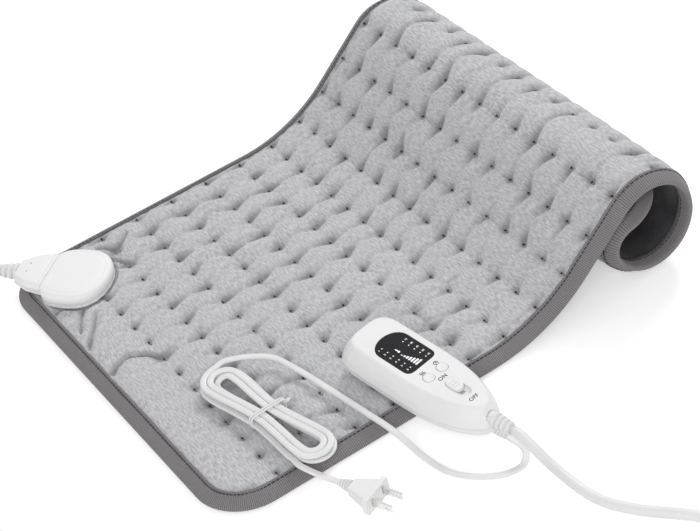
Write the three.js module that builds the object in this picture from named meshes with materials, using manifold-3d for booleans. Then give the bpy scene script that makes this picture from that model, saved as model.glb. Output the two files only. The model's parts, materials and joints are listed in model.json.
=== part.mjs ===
// Electric heating pad, one end rolled up, with a plug-in lead, a hand controller and a mains cord.
// Millimetres, +Z up. The origin is on the pad's flat underside, on its centre line.
import * as THREE from 'three';
import { mergeVertices } from 'three/addons/utils/BufferGeometryUtils.js';
import Module from 'manifold-3d';

const wasm = await Module();
wasm.setup();

// Cuts run this far past a face, and joined pieces this deep into one another
const CUT_PAST = 1;
const ROOT = 0.5;

// Pad: outline and how it lies
const PAD_WIDTH = 350;
const PAD_LENGTH = 601;
const PAD_CORNER = 40;
const ORIGIN_FROM_EDGE = 112;
const RISE_RADIUS = 134;
const RAMP_ANGLE = THREE.MathUtils.degToRad(40);
const ROLL_RADIUS = 32;
const ROLL_TURN = 1.5 * Math.PI;
const FOLD_RADIUS = 14;
const FOLD_TURN = THREE.MathUtils.degToRad(118);
const ROLL_GAP = 2.2;
const FLOOR_GAP = 0.5;

// Pad: layers, as heights above the underside
const CLEARANCE = 0.3;
const FOLD_SLACK = 1;
const HEM_STEP = 1;
const CORNER_ROOM = 2;
const CORNER_STEPS = 5;
const TAPE_THICKNESS = 0.9;
const TAPE_LEG = 13;
const BACKING_THICKNESS = 1.4;
const FELT_THICKNESS = 1.5;
const WIRE_DIAMETER = 1.8;
const TOP_HEM_THICKNESS = 2.3;
const TUFT_THICKNESS = 1.4;
const PUFF_THICKNESS = 4.9;
const TUFT_COLUMNS = 15;
const TUFT_MARGIN = 15.4;
const LINE_PITCH = 32.4;
const FIRST_LINE = 52;

// Pad socket and its plug
const SOCKET_FROM_END = 46;
const SOCKET_FROM_SIDE = 54;
const SOCKET_AZIMUTH = THREE.MathUtils.degToRad(128);
const SOCKET_LENGTH = 50;
const SOCKET_WIDTH = 58;
const SEAM_WIDTH = 42;
const SOCKET_BASE_HEIGHT = 4;
const SOCKET_HEIGHT = 14;
const SOCKET_AXIS_HEIGHT = 8;
const SOCKET_FOOT_EASE = 1.5;
const SOCKET_DOME_DROP = 4;
const SOCKET_DOME_INSET = 4.5;
const SOCKET_WALL = 2;
const PIN_DIAMETER = 2.4;
const PIN_SPACING = 9;
const PIN_REACH = 9;
const SLEEVE_PAST_PIN = 3;
const SLEEVE_WALL = 0.8;
const PLUG_LENGTH = 27;
const PLUG_STEP = 1;
const PLUG_FLANGE = 3;
const PLUG_EASE = 3;
const PLUG_NECK = 22;
const PLUG_HEIGHT = 12.4;
const RELIEF_LENGTH = 22;
const PLUG_RELIEF_ROOT = 13.6;
const CONTACT_BLOCK_DEPTH = 6;
const SOCKET_SCREW_INSET = 11;
const SOCKET_SCREW_SETBACK = 17;
const SOCKET_SCREW_HEAD = 0.9;
const SINK_SKIN = 0.6;
const FUSE_LENGTH = 12;
const FUSE_DIAMETER = 4;
const FUSE_FROM_SIDE = 15;

// Strain reliefs: ribs, and their radii in cord diameters
const RIBS = 4;
const RIB_ROOT = 0.75;
const RIB_TIP = 0.65;

// Hand controller
const HANDSET_X = 61.5;
const HANDSET_FROM_SIDE = 10;
const HANDSET_YAW = THREE.MathUtils.degToRad(-79.5);
const HANDSET_TILT = THREE.MathUtils.degToRad(4.5);
const HANDSET_REST = 12;
const HANDSET_LENGTH = 132;
const HANDSET_WIDTH = 52;
const HANDSET_HEIGHT = 24;
const HANDSET_NOSE = 34;
const HANDSET_BACK_CORNER = 18;
const SPLIT_HEIGHT = 8.3;
const SHELL_WALL = 2;
const BELLY_INSET = 4;
const BELLY_EASE = 2.5;
const SHOULDER_DROP = 5;
const SHOULDER_INSET = 4;
const FLANK_INSET = 1.6;
const PLATEAU_INSET = 7.5;
const PLATEAU_EASE = 0.7;
const BOARD_THICKNESS = 1.6;
const BOARD_FROM_BACK = 16;
const BOARD_FROM_NOSE = 24;
const BOARD_WIDTH = 32;
const BOARD_HEIGHT = 12;
const BOARD_REST_INSET = 4;
const BOARD_REST_RADIUS = 2;
const WINDOW_FROM_BACK = 25.5;
const WINDOW_TO_BUTTON = 12;
const WINDOW_WIDTH = 27.6;
const WINDOW_ARCH = 11;
const WINDOW_THICKNESS = 2.4;
const WINDOW_CORNER = 6;
const WINDOW_SUNK = 0.1;
const GUIDE_INSET = 4;
const BUTTON_TO_SWITCH = 18;
const BUTTON_SPACING = 13;
const BUTTON_DIAMETER = 8.6;
const BUTTON_TRAVEL = 0.9;
const BUTTON_PROUD = 0.8;
const BUTTON_EASE = 0.6;
const BUTTON_DISH = 0.2;
const BUTTON_FOOT = 2.5;
const FLANGE_WIDTH = 0.9;
const FLANGE_THICKNESS = 1.2;
const TACT_SIZE = 6;
const PLUNGER_DIAMETER = 3.4;
const PLUNGER_HEIGHT = 1;
const SWITCH_FROM_NOSE = 36;
const KNOB_LENGTH = 14;
const KNOB_WIDTH = 9;
const KNOB_TRAVEL = 7;
const KNOB_PROUD = 1.2;
const KNOB_EASE = 0.5;
const KNOB_RIB = 1;
const KNOB_RIB_PITCH = 2.4;
const SWITCH_RIM = 2;
const STEM_LENGTH = 4;
const STEM_WIDTH = 2.8;
const STEM_DEPTH = 2.5;
const SCREW_DIAMETER = 2.6;
const SCREW_HEAD = 5;
const SCREW_HEAD_HEIGHT = 1.6;
const SCREW_SINK = 3;
const POST_WALL = 1.2;
const BOSS_WALL = 0.6;
const BACK_SCREW_INSET = 9;
const BACK_SCREW_Y = 9;
const FRONT_SCREW_INSET = 19;
const FRONT_SCREW_Y = 10.5;
const LEAD_EXIT_HEIGHT = 14.6;
const MAINS_EXIT_HEIGHT = 4.3;
const COLLAR_WALL = 0.6;
const COLLAR_DEPTH = 8;
const LEAD_GLAND_LENGTH = 16;
const MAINS_GLAND_LENGTH = 10;

// Cords, mains plug and hank
const LEAD_DIAMETER = 7.4;
const MAINS_DIAMETER = 4.4;
const MAINS_RELIEF_LENGTH = 10;
const MAINS_PLUG_LENGTH = 21;
const MAINS_PLUG_LIP = 4;
const MAINS_PLUG_NECK = 11;
const MAINS_PLUG_RELIEF = 8.3;
const MAINS_PLUG_EASE = 1;
const MAINS_PLUG_WIDTH = 26;
const MAINS_PLUG_HEIGHT = 13;
const MAINS_PLUG_X = -32.5;
const MAINS_PLUG_FROM_SIDE = 21;
const MAINS_PLUG_AZIMUTH = THREE.MathUtils.degToRad(-67);
const BLADE_LENGTH = 16;
const BLADE_WIDTH = 6.35;
const BLADE_THICKNESS = 1.5;
const BLADE_SPACING = 12.7;
const BLADE_ROOT = 8;
const BLADE_EYE = 3.2;
const BLADE_EYE_INSET = 4;
const HANK_X = -37;
const HANK_FROM_SIDE = 61;
const HANK_AZIMUTH = THREE.MathUtils.degToRad(98);
const HANK_LENGTH = 130;
const HANK_WAIST = 22;
const HANK_END_RADIUS = 15.3;
const HANK_END_SHARE = 0.3;
const HANK_TURNS = 4.34;
const HANK_LAYER_TURNS = 2;
const STRAND_GAP = 0.7;
const TIE_WIDTH = 5;
const TIE_THICKNESS = 0.8;
const TIE_EASE = 1.2;

// Colours from the photograph
const MATERIALS = {
  plush: { color: 0xa9a9ad, roughness: 0.95, metalness: 0 },
  backing: { color: 0x4c4b4e, roughness: 0.95, metalness: 0 },
  tape: { color: 0x7d787b, roughness: 0.9, metalness: 0 },
  felt: { color: 0xd8d4cc, roughness: 1, metalness: 0 },
  white: { color: 0xececec, roughness: 0.4, metalness: 0 },
  cord: { color: 0xf0f0f0, roughness: 0.5, metalness: 0 },
  lens: { color: 0x1c1d20, roughness: 0.15, metalness: 0 },
  board: { color: 0x2c5a3c, roughness: 0.6, metalness: 0 },
  dark: { color: 0x333436, roughness: 0.6, metalness: 0 },
  metal: { color: 0xc9c9c6, roughness: 0.3, metalness: 1 },
};

const heatingPad = new THREE.Group();

function add(parent, name, geometry, material) {
  const mesh = new THREE.Mesh(geometry, new THREE.MeshStandardMaterial(MATERIALS[material]));
  mesh.name = name;
  parent.add(mesh);
  return mesh;
}

// Solids: boolean cuts and joins, and closed surfaces from rings and rows

function solidOf(geometry) {
  const bare = geometry.clone();
  bare.deleteAttribute('normal');
  bare.deleteAttribute('uv');
  const merged = mergeVertices(bare, 1e-4);
  const vertProperties = new Float32Array(merged.attributes.position.array);
  const triVerts = new Uint32Array(merged.index.array);
  return new wasm.Manifold(new wasm.Mesh({ numProp: 3, vertProperties, triVerts }));
}

function geometryOf(solid) {
  const mesh = solid.getMesh();
  return meshOf(Array.from(mesh.vertProperties), Array.from(mesh.triVerts));
}

function cut(body, ...tools) {
  return geometryOf(tools.reduce((solid, tool) => solid.subtract(solidOf(tool)), solidOf(body)));
}

function common(body, other) {
  return geometryOf(solidOf(body).intersect(solidOf(other)));
}

function join(body, ...others) {
  return geometryOf(others.reduce((solid, other) => solid.add(solidOf(other)), solidOf(body)));
}

function meshOf(positions, index) {
  const geometry = new THREE.BufferGeometry();
  geometry.setAttribute('position', new THREE.Float32BufferAttribute(positions, 3));
  geometry.setIndex(index);
  geometry.computeVertexNormals();
  return geometry;
}

// Signed volume of an indexed mesh: negative when its faces point inwards.
function signedVolume(points, index) {
  let six = 0;
  for (let i = 0; i < index.length; i += 3) {
    const [a, b, c] = [points[index[i]], points[index[i + 1]], points[index[i + 2]]];
    six += a.dot(new THREE.Vector3().crossVectors(b, c));
  }
  return six / 6;
}

// A closed surface through rings of equally many points; the first and last ring are capped,
// or joined to each other where the rings go round a loop.
function ringsSolid(rings, loop = false) {
  const count = rings[0].length;
  const points = rings.flat();
  const index = [];
  const spans = loop ? rings.length : rings.length - 1;
  for (let r = 0; r < spans; r += 1) {
    const here = r * count;
    const next = ((r + 1) % rings.length) * count;
    for (let i = 0; i < count; i += 1) {
      const j = (i + 1) % count;
      index.push(here + i, here + j, next + j, here + i, next + j, next + i);
    }
  }
  if (!loop) {
    const last = (rings.length - 1) * count;
    for (let i = 1; i < count - 1; i += 1) {
      index.push(0, i + 1, i, last, last + i, last + i + 1);
    }
  }
  if (signedVolume(points, index) < 0) index.reverse();
  return meshOf(points.flatMap((p) => p.toArray()), index);
}

// A tube of round section through points, with the section's first direction near `up`.
function tube(points, radius, sides, ups) {
  const rings = points.map((point, i) => {
    const before = points[Math.max(i - 1, 0)];
    const after = points[Math.min(i + 1, points.length - 1)];
    const along = new THREE.Vector3().subVectors(after, before).normalize();
    const side = new THREE.Vector3().crossVectors(along, ups[i]).normalize();
    const up = new THREE.Vector3().crossVectors(side, along);
    return Array.from({ length: sides }, (_, k) => {
      const angle = ((k + 0.5) / sides) * 2 * Math.PI;
      return point.clone().addScaledVector(side, radius * Math.cos(angle))
        .addScaledVector(up, radius * Math.sin(angle));
    });
  });
  return ringsSolid(rings);
}

// A free cord: a round section pushed along hand-chosen points.
function cordAlong(points, diameter, steps, sides) {
  const section = new THREE.Shape();
  for (let k = 0; k < sides; k += 1) {
    const angle = ((k + 0.5) / sides) * 2 * Math.PI;
    const [x, y] = [0.5 * diameter * Math.cos(angle), 0.5 * diameter * Math.sin(angle)];
    if (k === 0) section.moveTo(x, y);
    else section.lineTo(x, y);
  }
  const extrudePath = new THREE.CatmullRomCurve3(points);
  return new THREE.ExtrudeGeometry(section, { steps, bevelEnabled: false, extrudePath });
}

// A prism of an outline between two heights, its edges eased by `ease`.
function prism(shape, low, high, ease = 0, curveSegments = 6) {
  const options = { depth: high - low - 2 * ease, bevelEnabled: ease > 0, curveSegments };
  Object.assign(options, { bevelThickness: ease, bevelSize: ease, bevelOffset: -ease, bevelSegments: 1 });
  return new THREE.ExtrudeGeometry(shape, options).translate(0, 0, low + ease);
}

function box(x0, x1, y0, y1, z0, z1) {
  const geometry = new THREE.BoxGeometry(x1 - x0, y1 - y0, z1 - z0);
  return geometry.translate((x0 + x1) / 2, (y0 + y1) / 2, (z0 + z1) / 2);
}

function roundBar(radius, low, high, x = 0, y = 0, sides = 10) {
  const bar = new THREE.CylinderGeometry(radius, radius, high - low, sides).rotateX(Math.PI / 2);
  return bar.translate(x, y, (low + high) / 2);
}

// A turned piece along +X from [x, radius] points, closed on its axis.
function turned(profile, sides) {
  const points = profile.map(([x, radius]) => new THREE.Vector2(radius, x));
  return new THREE.LatheGeometry(points, sides).rotateZ(-Math.PI / 2);
}

// An outline's points pulled in by `inset` on its own half length and half width, at a height.
function ringAt(outline, inset, height) {
  const boxOf = new THREE.Box2().setFromPoints(outline);
  const [centre, size] = [boxOf.getCenter(new THREE.Vector2()), boxOf.getSize(new THREE.Vector2())];
  return outline.map((p) => new THREE.Vector3(
    centre.x + (p.x - centre.x) * (1 - (2 * inset) / size.x),
    centre.y + (p.y - centre.y) * (1 - (2 * inset) / size.y),
    height,
  ));
}

function loft(outline, levels) {
  return ringsSolid(levels.map(([height, inset]) => ringAt(outline, inset, height)));
}

// Pad form: the underside's line, unrolled as u, with v across and w above the underside

const hemBottom = TAPE_THICKNESS + CLEARANCE;
const topHemBottom = hemBottom + BACKING_THICKNESS + CLEARANCE;
const topHemTop = topHemBottom + TOP_HEM_THICKNESS;
const tapeHeight = topHemTop + CLEARANCE + TAPE_THICKNESS;
const feltBottom = BACKING_THICKNESS + CLEARANCE;
const feltTop = feltBottom + FELT_THICKNESS;
const wireHeight = feltTop + CLEARANCE + WIRE_DIAMETER / 2;
const coverBottom = wireHeight + WIRE_DIAMETER / 2 + CLEARANCE;
const tuftTop = coverBottom + TUFT_THICKNESS;
const padHeight = coverBottom + PUFF_THICKNESS;

const front = -PAD_WIDTH / 2;
const back = PAD_WIDTH / 2;
const tuftPitch = (PAD_WIDTH - 2 * TUFT_MARGIN) / (TUFT_COLUMNS - 1);

const rollCentreHeight = ROLL_RADIUS + padHeight + FLOOR_GAP;
const rampTop = rollCentreHeight + ROLL_RADIUS * Math.cos(RAMP_ANGLE);
const riseTop = RISE_RADIUS * (1 - Math.cos(RAMP_ANGLE));
const rampLength = (rampTop - riseTop) / Math.sin(RAMP_ANGLE);
const innerRun = ROLL_RADIUS - FOLD_RADIUS - padHeight - ROLL_GAP;

// Length of the tongue, from the fold to where its tip would meet the roll's far side.
function tongueReach() {
  const turnTo = (angle) => new THREE.Vector2(Math.cos(angle), Math.sin(angle));
  const place = RAMP_ANGLE + Math.PI / 2 - ROLL_TURN;
  const foldCentre = turnTo(place).multiplyScalar(ROLL_RADIUS - FOLD_RADIUS)
    .addScaledVector(turnTo(place - Math.PI / 2), innerRun);
  const heading = turnTo(place - Math.PI / 2 - FOLD_TURN);
  const room = ROLL_RADIUS - ROLL_GAP;
  return Math.min(...[0, tapeHeight].map((w) => {
    const start = foldCentre.clone().addScaledVector(turnTo(place - FOLD_TURN), FOLD_RADIUS + w);
    const along = start.dot(heading);
    return Math.sqrt(along ** 2 - start.lengthSq() + room ** 2) - along;
  }));
}

const tongueLength = tongueReach();
const farCorner = Math.min(PAD_CORNER, tongueLength - CORNER_ROOM);
const curledLength = RISE_RADIUS * RAMP_ANGLE + rampLength + ROLL_RADIUS * ROLL_TURN
  + innerRun + FOLD_RADIUS * FOLD_TURN + tongueLength;
const flatLength = PAD_LENGTH - curledLength;

// Stretches of the underside's line: length and how far it turns up.
const STRETCHES = [
  [flatLength, 0],
  [RISE_RADIUS * RAMP_ANGLE, RAMP_ANGLE],
  [rampLength, 0],
  [ROLL_RADIUS * ROLL_TURN, -ROLL_TURN],
  [innerRun, 0],
  [FOLD_RADIUS * FOLD_TURN, -FOLD_TURN],
  [tongueLength, 0],
];

// Point of the underside's line at length u, and its heading.
function underside(u) {
  let [x, z, heading, left] = [-ORIGIN_FROM_EDGE, 0, 0, u];
  for (const [length, turn] of STRETCHES) {
    const part = Math.min(left, length);
    const partTurn = turn * (part / length);
    if (turn === 0) {
      x += part * Math.cos(heading);
      z += part * Math.sin(heading);
    } else {
      const radius = length / turn;
      x += radius * (Math.sin(heading + partTurn) - Math.sin(heading));
      z -= radius * (Math.cos(heading + partTurn) - Math.cos(heading));
    }
    heading += partTurn;
    left -= part;
    if (left <= 0) break;
  }
  return { x, z, heading };
}

function bend(u, v, w) {
  const { x, z, heading } = underside(u);
  return new THREE.Vector3(x - w * Math.sin(heading), v, z + w * Math.cos(heading));
}

function padNormal(u) {
  const { heading } = underside(u);
  return new THREE.Vector3(-Math.sin(heading), 0, Math.cos(heading));
}

// Corner radius at the end of the pad that is nearer to length u.
function cornerAt(u) {
  return u < PAD_LENGTH / 2 ? PAD_CORNER : farCorner;
}

// Half width of the pad at length u, drawn in from its edge by an inset.
function halfWidth(u, inset) {
  const fromEnd = Math.min(u, PAD_LENGTH - u);
  const corner = cornerAt(u);
  if (fromEnd >= corner) return PAD_WIDTH / 2 - inset;
  const reach = (corner - inset) ** 2 - (corner - fromEnd) ** 2;
  return PAD_WIDTH / 2 - corner + Math.sqrt(Math.max(reach, 0));
}

// Tuft lines, the lines midway between them, and the stations where the fold turns.
const lineCount = Math.floor((PAD_LENGTH - FIRST_LINE - farCorner) / LINE_PITCH) + 1;
const tuftLines = Array.from({ length: lineCount }, (_, i) => FIRST_LINE + i * LINE_PITCH);
const midLines = tuftLines.slice(0, -1).map((u) => u + LINE_PITCH / 2);
const foldStart = PAD_LENGTH - tongueLength - FOLD_RADIUS * FOLD_TURN;
const foldStations = [0, 1, 2, 3].map((i) => foldStart + (i / 3) * FOLD_RADIUS * FOLD_TURN);
const farFromLines = (u) => ![...tuftLines, ...midLines].some((line) => Math.abs(line - u) < 3);
const innerStations = [...tuftLines, ...midLines, ...foldStations.filter(farFromLines)].sort((a, b) => a - b);
const tuftColumns = Array.from({ length: TUFT_COLUMNS }, (_, k) => (k - (TUFT_COLUMNS - 1) / 2) * tuftPitch);
const curvedStations = innerStations.filter((u) => u > flatLength - LINE_PITCH / 2);
const tapeEdge = TAPE_LEG + CLEARANCE;

// Lengths of a layer's rows: its two ends, with their hems and corners, and the shared stations.
function rowLengths(inset, stations) {
  const ends = [PAD_CORNER, farCorner].map((corner) => {
    const inside = [tapeEdge, tapeEdge + HEM_STEP, tapeEdge + 8 * HEM_STEP, corner];
    return [inset, ...inside.filter((u) => u > inset)];
  });
  const far = ends[1].map((u) => PAD_LENGTH - u).reverse();
  const [from, to] = [PAD_CORNER + CORNER_ROOM, PAD_LENGTH - farCorner - CORNER_ROOM];
  return [...ends[0], ...stations.filter((u) => u > from && u < to), ...far];
}

// A layer of the pad from rows of [v, w] points, over and under, at lengths u.
function rowsSolid(rows) {
  const points = [];
  const index = [];
  const placed = rows.map(({ u, over, under }) => {
    const place = (line) => line.map(([v, w]) => ({ v, at: points.push(bend(u, v, w)) - 1 }));
    return { over: place(over), under: place(under) };
  });
  const strip = (a, b) => {
    let [i, j] = [0, 0];
    while (i < a.length - 1 || j < b.length - 1) {
      const even = a.length === b.length;
      const first = even ? i <= j : j === b.length - 1 || a[i + 1]?.v <= b[j + 1].v;
      const stepA = i < a.length - 1 && first;
      if (stepA) index.push(a[i].at, b[j].at, a[i += 1].at);
      else index.push(a[i].at, b[j].at, b[j += 1].at);
    }
  };
  const zip = (a, b) => {
    strip(a.slice(0, 2), b.slice(0, 2));
    strip(a.slice(1, -1), b.slice(1, -1));
    strip(a.slice(-2), b.slice(-2));
  };
  for (let r = 0; r < placed.length - 1; r += 1) {
    const [here, next] = [placed[r], placed[r + 1]];
    zip(here.over, next.over);
    zip(next.under, here.under);
    const near = [here.under[0], next.under[0], next.over[0], here.over[0]].map((p) => p.at);
    const far = [here.under, here.over, next.over, next.under].map((line) => line.at(-1).at);
    for (const [a, b, c, d] of [near, far]) index.push(a, b, c, a, c, d);
  }
  const [first, last] = [placed[0], placed.at(-1)];
  zip(first.under, first.over);
  zip(last.over, last.under);
  return meshOf(points.flatMap((p) => p.toArray()), index);
}

// Lines where a layer at length u steps from its hem to its body; near an end it is all hem.
function hemmedLine(u, inset, inner, hemLevel, level) {
  const edge = halfWidth(u, inset);
  const inside = Math.min(u, PAD_LENGTH - u) >= inner - HEM_STEP / 2;
  const straight = PAD_WIDTH / 2 - cornerAt(u);
  const hem = inside ? halfWidth(u, inner - HEM_STEP) : straight - HEM_STEP;
  const body = inside ? halfWidth(u, inner) : straight - 2 * HEM_STEP;
  const middle = inside ? level : hemLevel;
  const half = [[body, middle], [hem, hemLevel], [edge, hemLevel]];
  return [...half.map(([v, w]) => [-v, w]).reverse(), ...half];
}

const hemInset = TAPE_THICKNESS + FOLD_SLACK;

function bottomCover() {
  return rowsSolid(rowLengths(hemInset, curvedStations).map((u) => ({
    u,
    over: hemmedLine(u, hemInset, tapeEdge + HEM_STEP, hemBottom + BACKING_THICKNESS, BACKING_THICKNESS),
    under: hemmedLine(u, hemInset, tapeEdge + HEM_STEP, hemBottom, 0),
  })));
}

function heaterFelt() {
  const inset = tapeEdge + 4 * HEM_STEP;
  return rowsSolid(rowLengths(inset, curvedStations).map((u) => {
    const half = halfWidth(u, inset);
    const level = (w) => [-half, -half / 2, half / 2, half].map((v) => [v, w]);
    return { u, over: level(feltTop), under: level(feltBottom) };
  }));
}

// Wire laid to and fro across the pad, one run midway between each pair of tuft lines.
function heatingWire() {
  const reach = tuftColumns.at(-1) - tuftPitch;
  const laid = midLines.flatMap((u, i) => {
    const side = i % 2 === 0 ? 1 : -1;
    const run = [[u, -side * reach], [u, side * reach]];
    return i < midLines.length - 1 ? [...run, [u + LINE_PITCH / 2, side * (reach + tuftPitch / 2)]] : run;
  });
  const points = laid.map(([u, v]) => bend(u, v, wireHeight));
  return tube(points, WIRE_DIAMETER / 2, 6, laid.map(([u]) => padNormal(u)));
}

// Plush level: low at each sewn tuft, half sunk between tufts along a line, full in between,
// and pressed flat under the socket.
const socketX = SOCKET_FROM_END - ORIGIN_FROM_EDGE;
const socketY = back - SOCKET_FROM_SIDE;
const socketAxis = new THREE.Vector2(Math.cos(SOCKET_AZIMUTH), Math.sin(SOCKET_AZIMUTH));
const socketReach = SOCKET_WIDTH / 2 + Math.hypot(tuftPitch, LINE_PITCH / 2);

function plushLevel(u, v, level) {
  const { x } = underside(u);
  const offset = new THREE.Vector2(x - socketX, v - socketY);
  const along = THREE.MathUtils.clamp(offset.dot(socketAxis), 0, SOCKET_LENGTH / 2 + PLUG_LENGTH);
  const apart = offset.addScaledVector(socketAxis, -along).length();
  return u < ORIGIN_FROM_EDGE && apart < socketReach ? Math.min(level, tuftTop) : level;
}

function topCover() {
  const betweenColumns = tuftColumns.slice(0, -1).map((v) => v + tuftPitch / 2);
  const allColumns = [...tuftColumns, ...betweenColumns].sort((a, b) => a - b);
  const sunk = (tuftTop + padHeight) / 2;
  const inner = tapeEdge + HEM_STEP;
  const rows = rowLengths(hemInset, innerStations).map((u) => {
    const fromEnd = Math.min(u, PAD_LENGTH - u);
    const inside = fromEnd >= inner - HEM_STEP / 2;
    const edge = halfWidth(u, hemInset);
    const body = inside ? halfWidth(u, inner) : PAD_WIDTH / 2 - cornerAt(u) - HEM_STEP;
    const onTufts = tuftLines.includes(u);
    const onMids = midLines.includes(u);
    const margin = THREE.MathUtils.smoothstep(fromEnd, tapeEdge, cornerAt(u));
    const level = (v) => {
      if (onTufts) return tuftTop;
      if (onMids && !tuftColumns.includes(v)) return padHeight;
      return THREE.MathUtils.lerp(topHemTop, sunk, margin);
    };
    const columns = (onMids ? allColumns : tuftColumns).filter((v) => Math.abs(v) < body - HEM_STEP);
    const middle = columns.map((v) => [v, plushLevel(u, v, level(v))]);
    const hem = [[-edge, topHemTop], [-body, topHemTop], [body, topHemTop], [edge, topHemTop]];
    return {
      u,
      over: [...hem.slice(0, 2), ...(inside ? middle : []), ...hem.slice(2)],
      under: hemmedLine(u, hemInset, tapeEdge + 3 * HEM_STEP, topHemBottom, coverBottom),
    };
  });
  return rowsSolid(rows);
}

// Woven tape folded round the pad's edge, sewn through: a C section led round the outline.
function edgeBinding() {
  const section = [
    [0, 0], [0, tapeHeight], [TAPE_LEG, tapeHeight], [TAPE_LEG, tapeHeight - TAPE_THICKNESS],
    [TAPE_THICKNESS, tapeHeight - TAPE_THICKNESS], [TAPE_THICKNESS, TAPE_THICKNESS],
    [TAPE_LEG, TAPE_THICKNESS], [TAPE_LEG, 0],
  ];
  const curved = curvedStations.filter((u) => u < PAD_LENGTH - farCorner - CORNER_ROOM);
  const stations = [];
  const corner = (u, endSign, sideSign, from, to) => {
    const radius = cornerAt(u);
    for (let i = 0; i <= CORNER_STEPS; i += 1) {
      const angle = from + (i / CORNER_STEPS) * (to - from);
      const normal = [endSign * Math.cos(angle), sideSign * Math.sin(angle)];
      stations.push({ u, v: sideSign * (PAD_WIDTH / 2 - radius), normal, radius });
    }
  };
  const sideRun = (lengths, side) => lengths.forEach((u) => stations.push({
    u, v: side * (PAD_WIDTH / 2 - PAD_CORNER), normal: [0, side], radius: PAD_CORNER,
  }));
  const quarter = Math.PI / 2;
  corner(PAD_CORNER, -1, -1, 0, quarter);
  sideRun(curved, -1);
  corner(PAD_LENGTH - farCorner, 1, -1, quarter, 0);
  corner(PAD_LENGTH - farCorner, 1, 1, 0, quarter);
  sideRun([...curved].reverse(), 1);
  corner(PAD_CORNER, -1, 1, quarter, 0);
  const rings = stations.map(({ u, v, normal, radius }) => section.map(([inset, w]) => {
    const reach = radius - inset;
    return bend(u + normal[0] * reach, v + normal[1] * reach, w);
  }));
  return ringsSolid(rings, true);
}

add(heatingPad, 'bottom_cover', bottomCover(), 'backing');
add(heatingPad, 'heater_felt', heaterFelt(), 'felt');
add(heatingPad, 'heating_wire', heatingWire(), 'dark');
add(heatingPad, 'top_cover', topCover(), 'plush');
add(heatingPad, 'edge_binding', edgeBinding(), 'tape');

// Pad socket: a two-part puck on the pad's corner, its seam facing out over the corner

const socket = new THREE.Group();
socket.position.set(socketX, socketY, tuftTop + CLEARANCE);
socket.rotation.z = SOCKET_AZIMUTH;
heatingPad.add(socket);

const seamX = SOCKET_LENGTH / 2;
const axisHeight = SOCKET_AXIS_HEIGHT;

// Puck outline: straight across the seam, round behind.
function puckOutline() {
  const [half, seam] = [SOCKET_WIDTH / 2, SEAM_WIDTH / 2];
  const shape = new THREE.Shape();
  shape.moveTo(seamX, -seam);
  shape.lineTo(seamX, seam);
  const [shoulder, flank, tail] = [0.8 * seamX, 0.44 * seamX, 0.62];
  shape.bezierCurveTo(shoulder, half, flank, half, 0, half);
  shape.bezierCurveTo(-tail * seamX, half, -seamX, half * tail, -seamX, 0);
  shape.bezierCurveTo(-seamX, -half * tail, -tail * seamX, -half, 0, -half);
  shape.bezierCurveTo(flank, -half, shoulder, -half, seamX, -seam);
  return shape.getPoints(5).slice(0, -1);
}

const pinHeights = [-1, 0, 1].map((k) => k * PIN_SPACING);
const pinSpread = PIN_SPACING + 1.6 * PIN_DIAMETER;

function alongX(geometry) {
  return geometry.rotateY(Math.PI / 2);
}

function pinBar(y, radius, from, to) {
  return alongX(roundBar(radius, from, to, 0, 0, 8)).translate(0, y, axisHeight);
}

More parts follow.
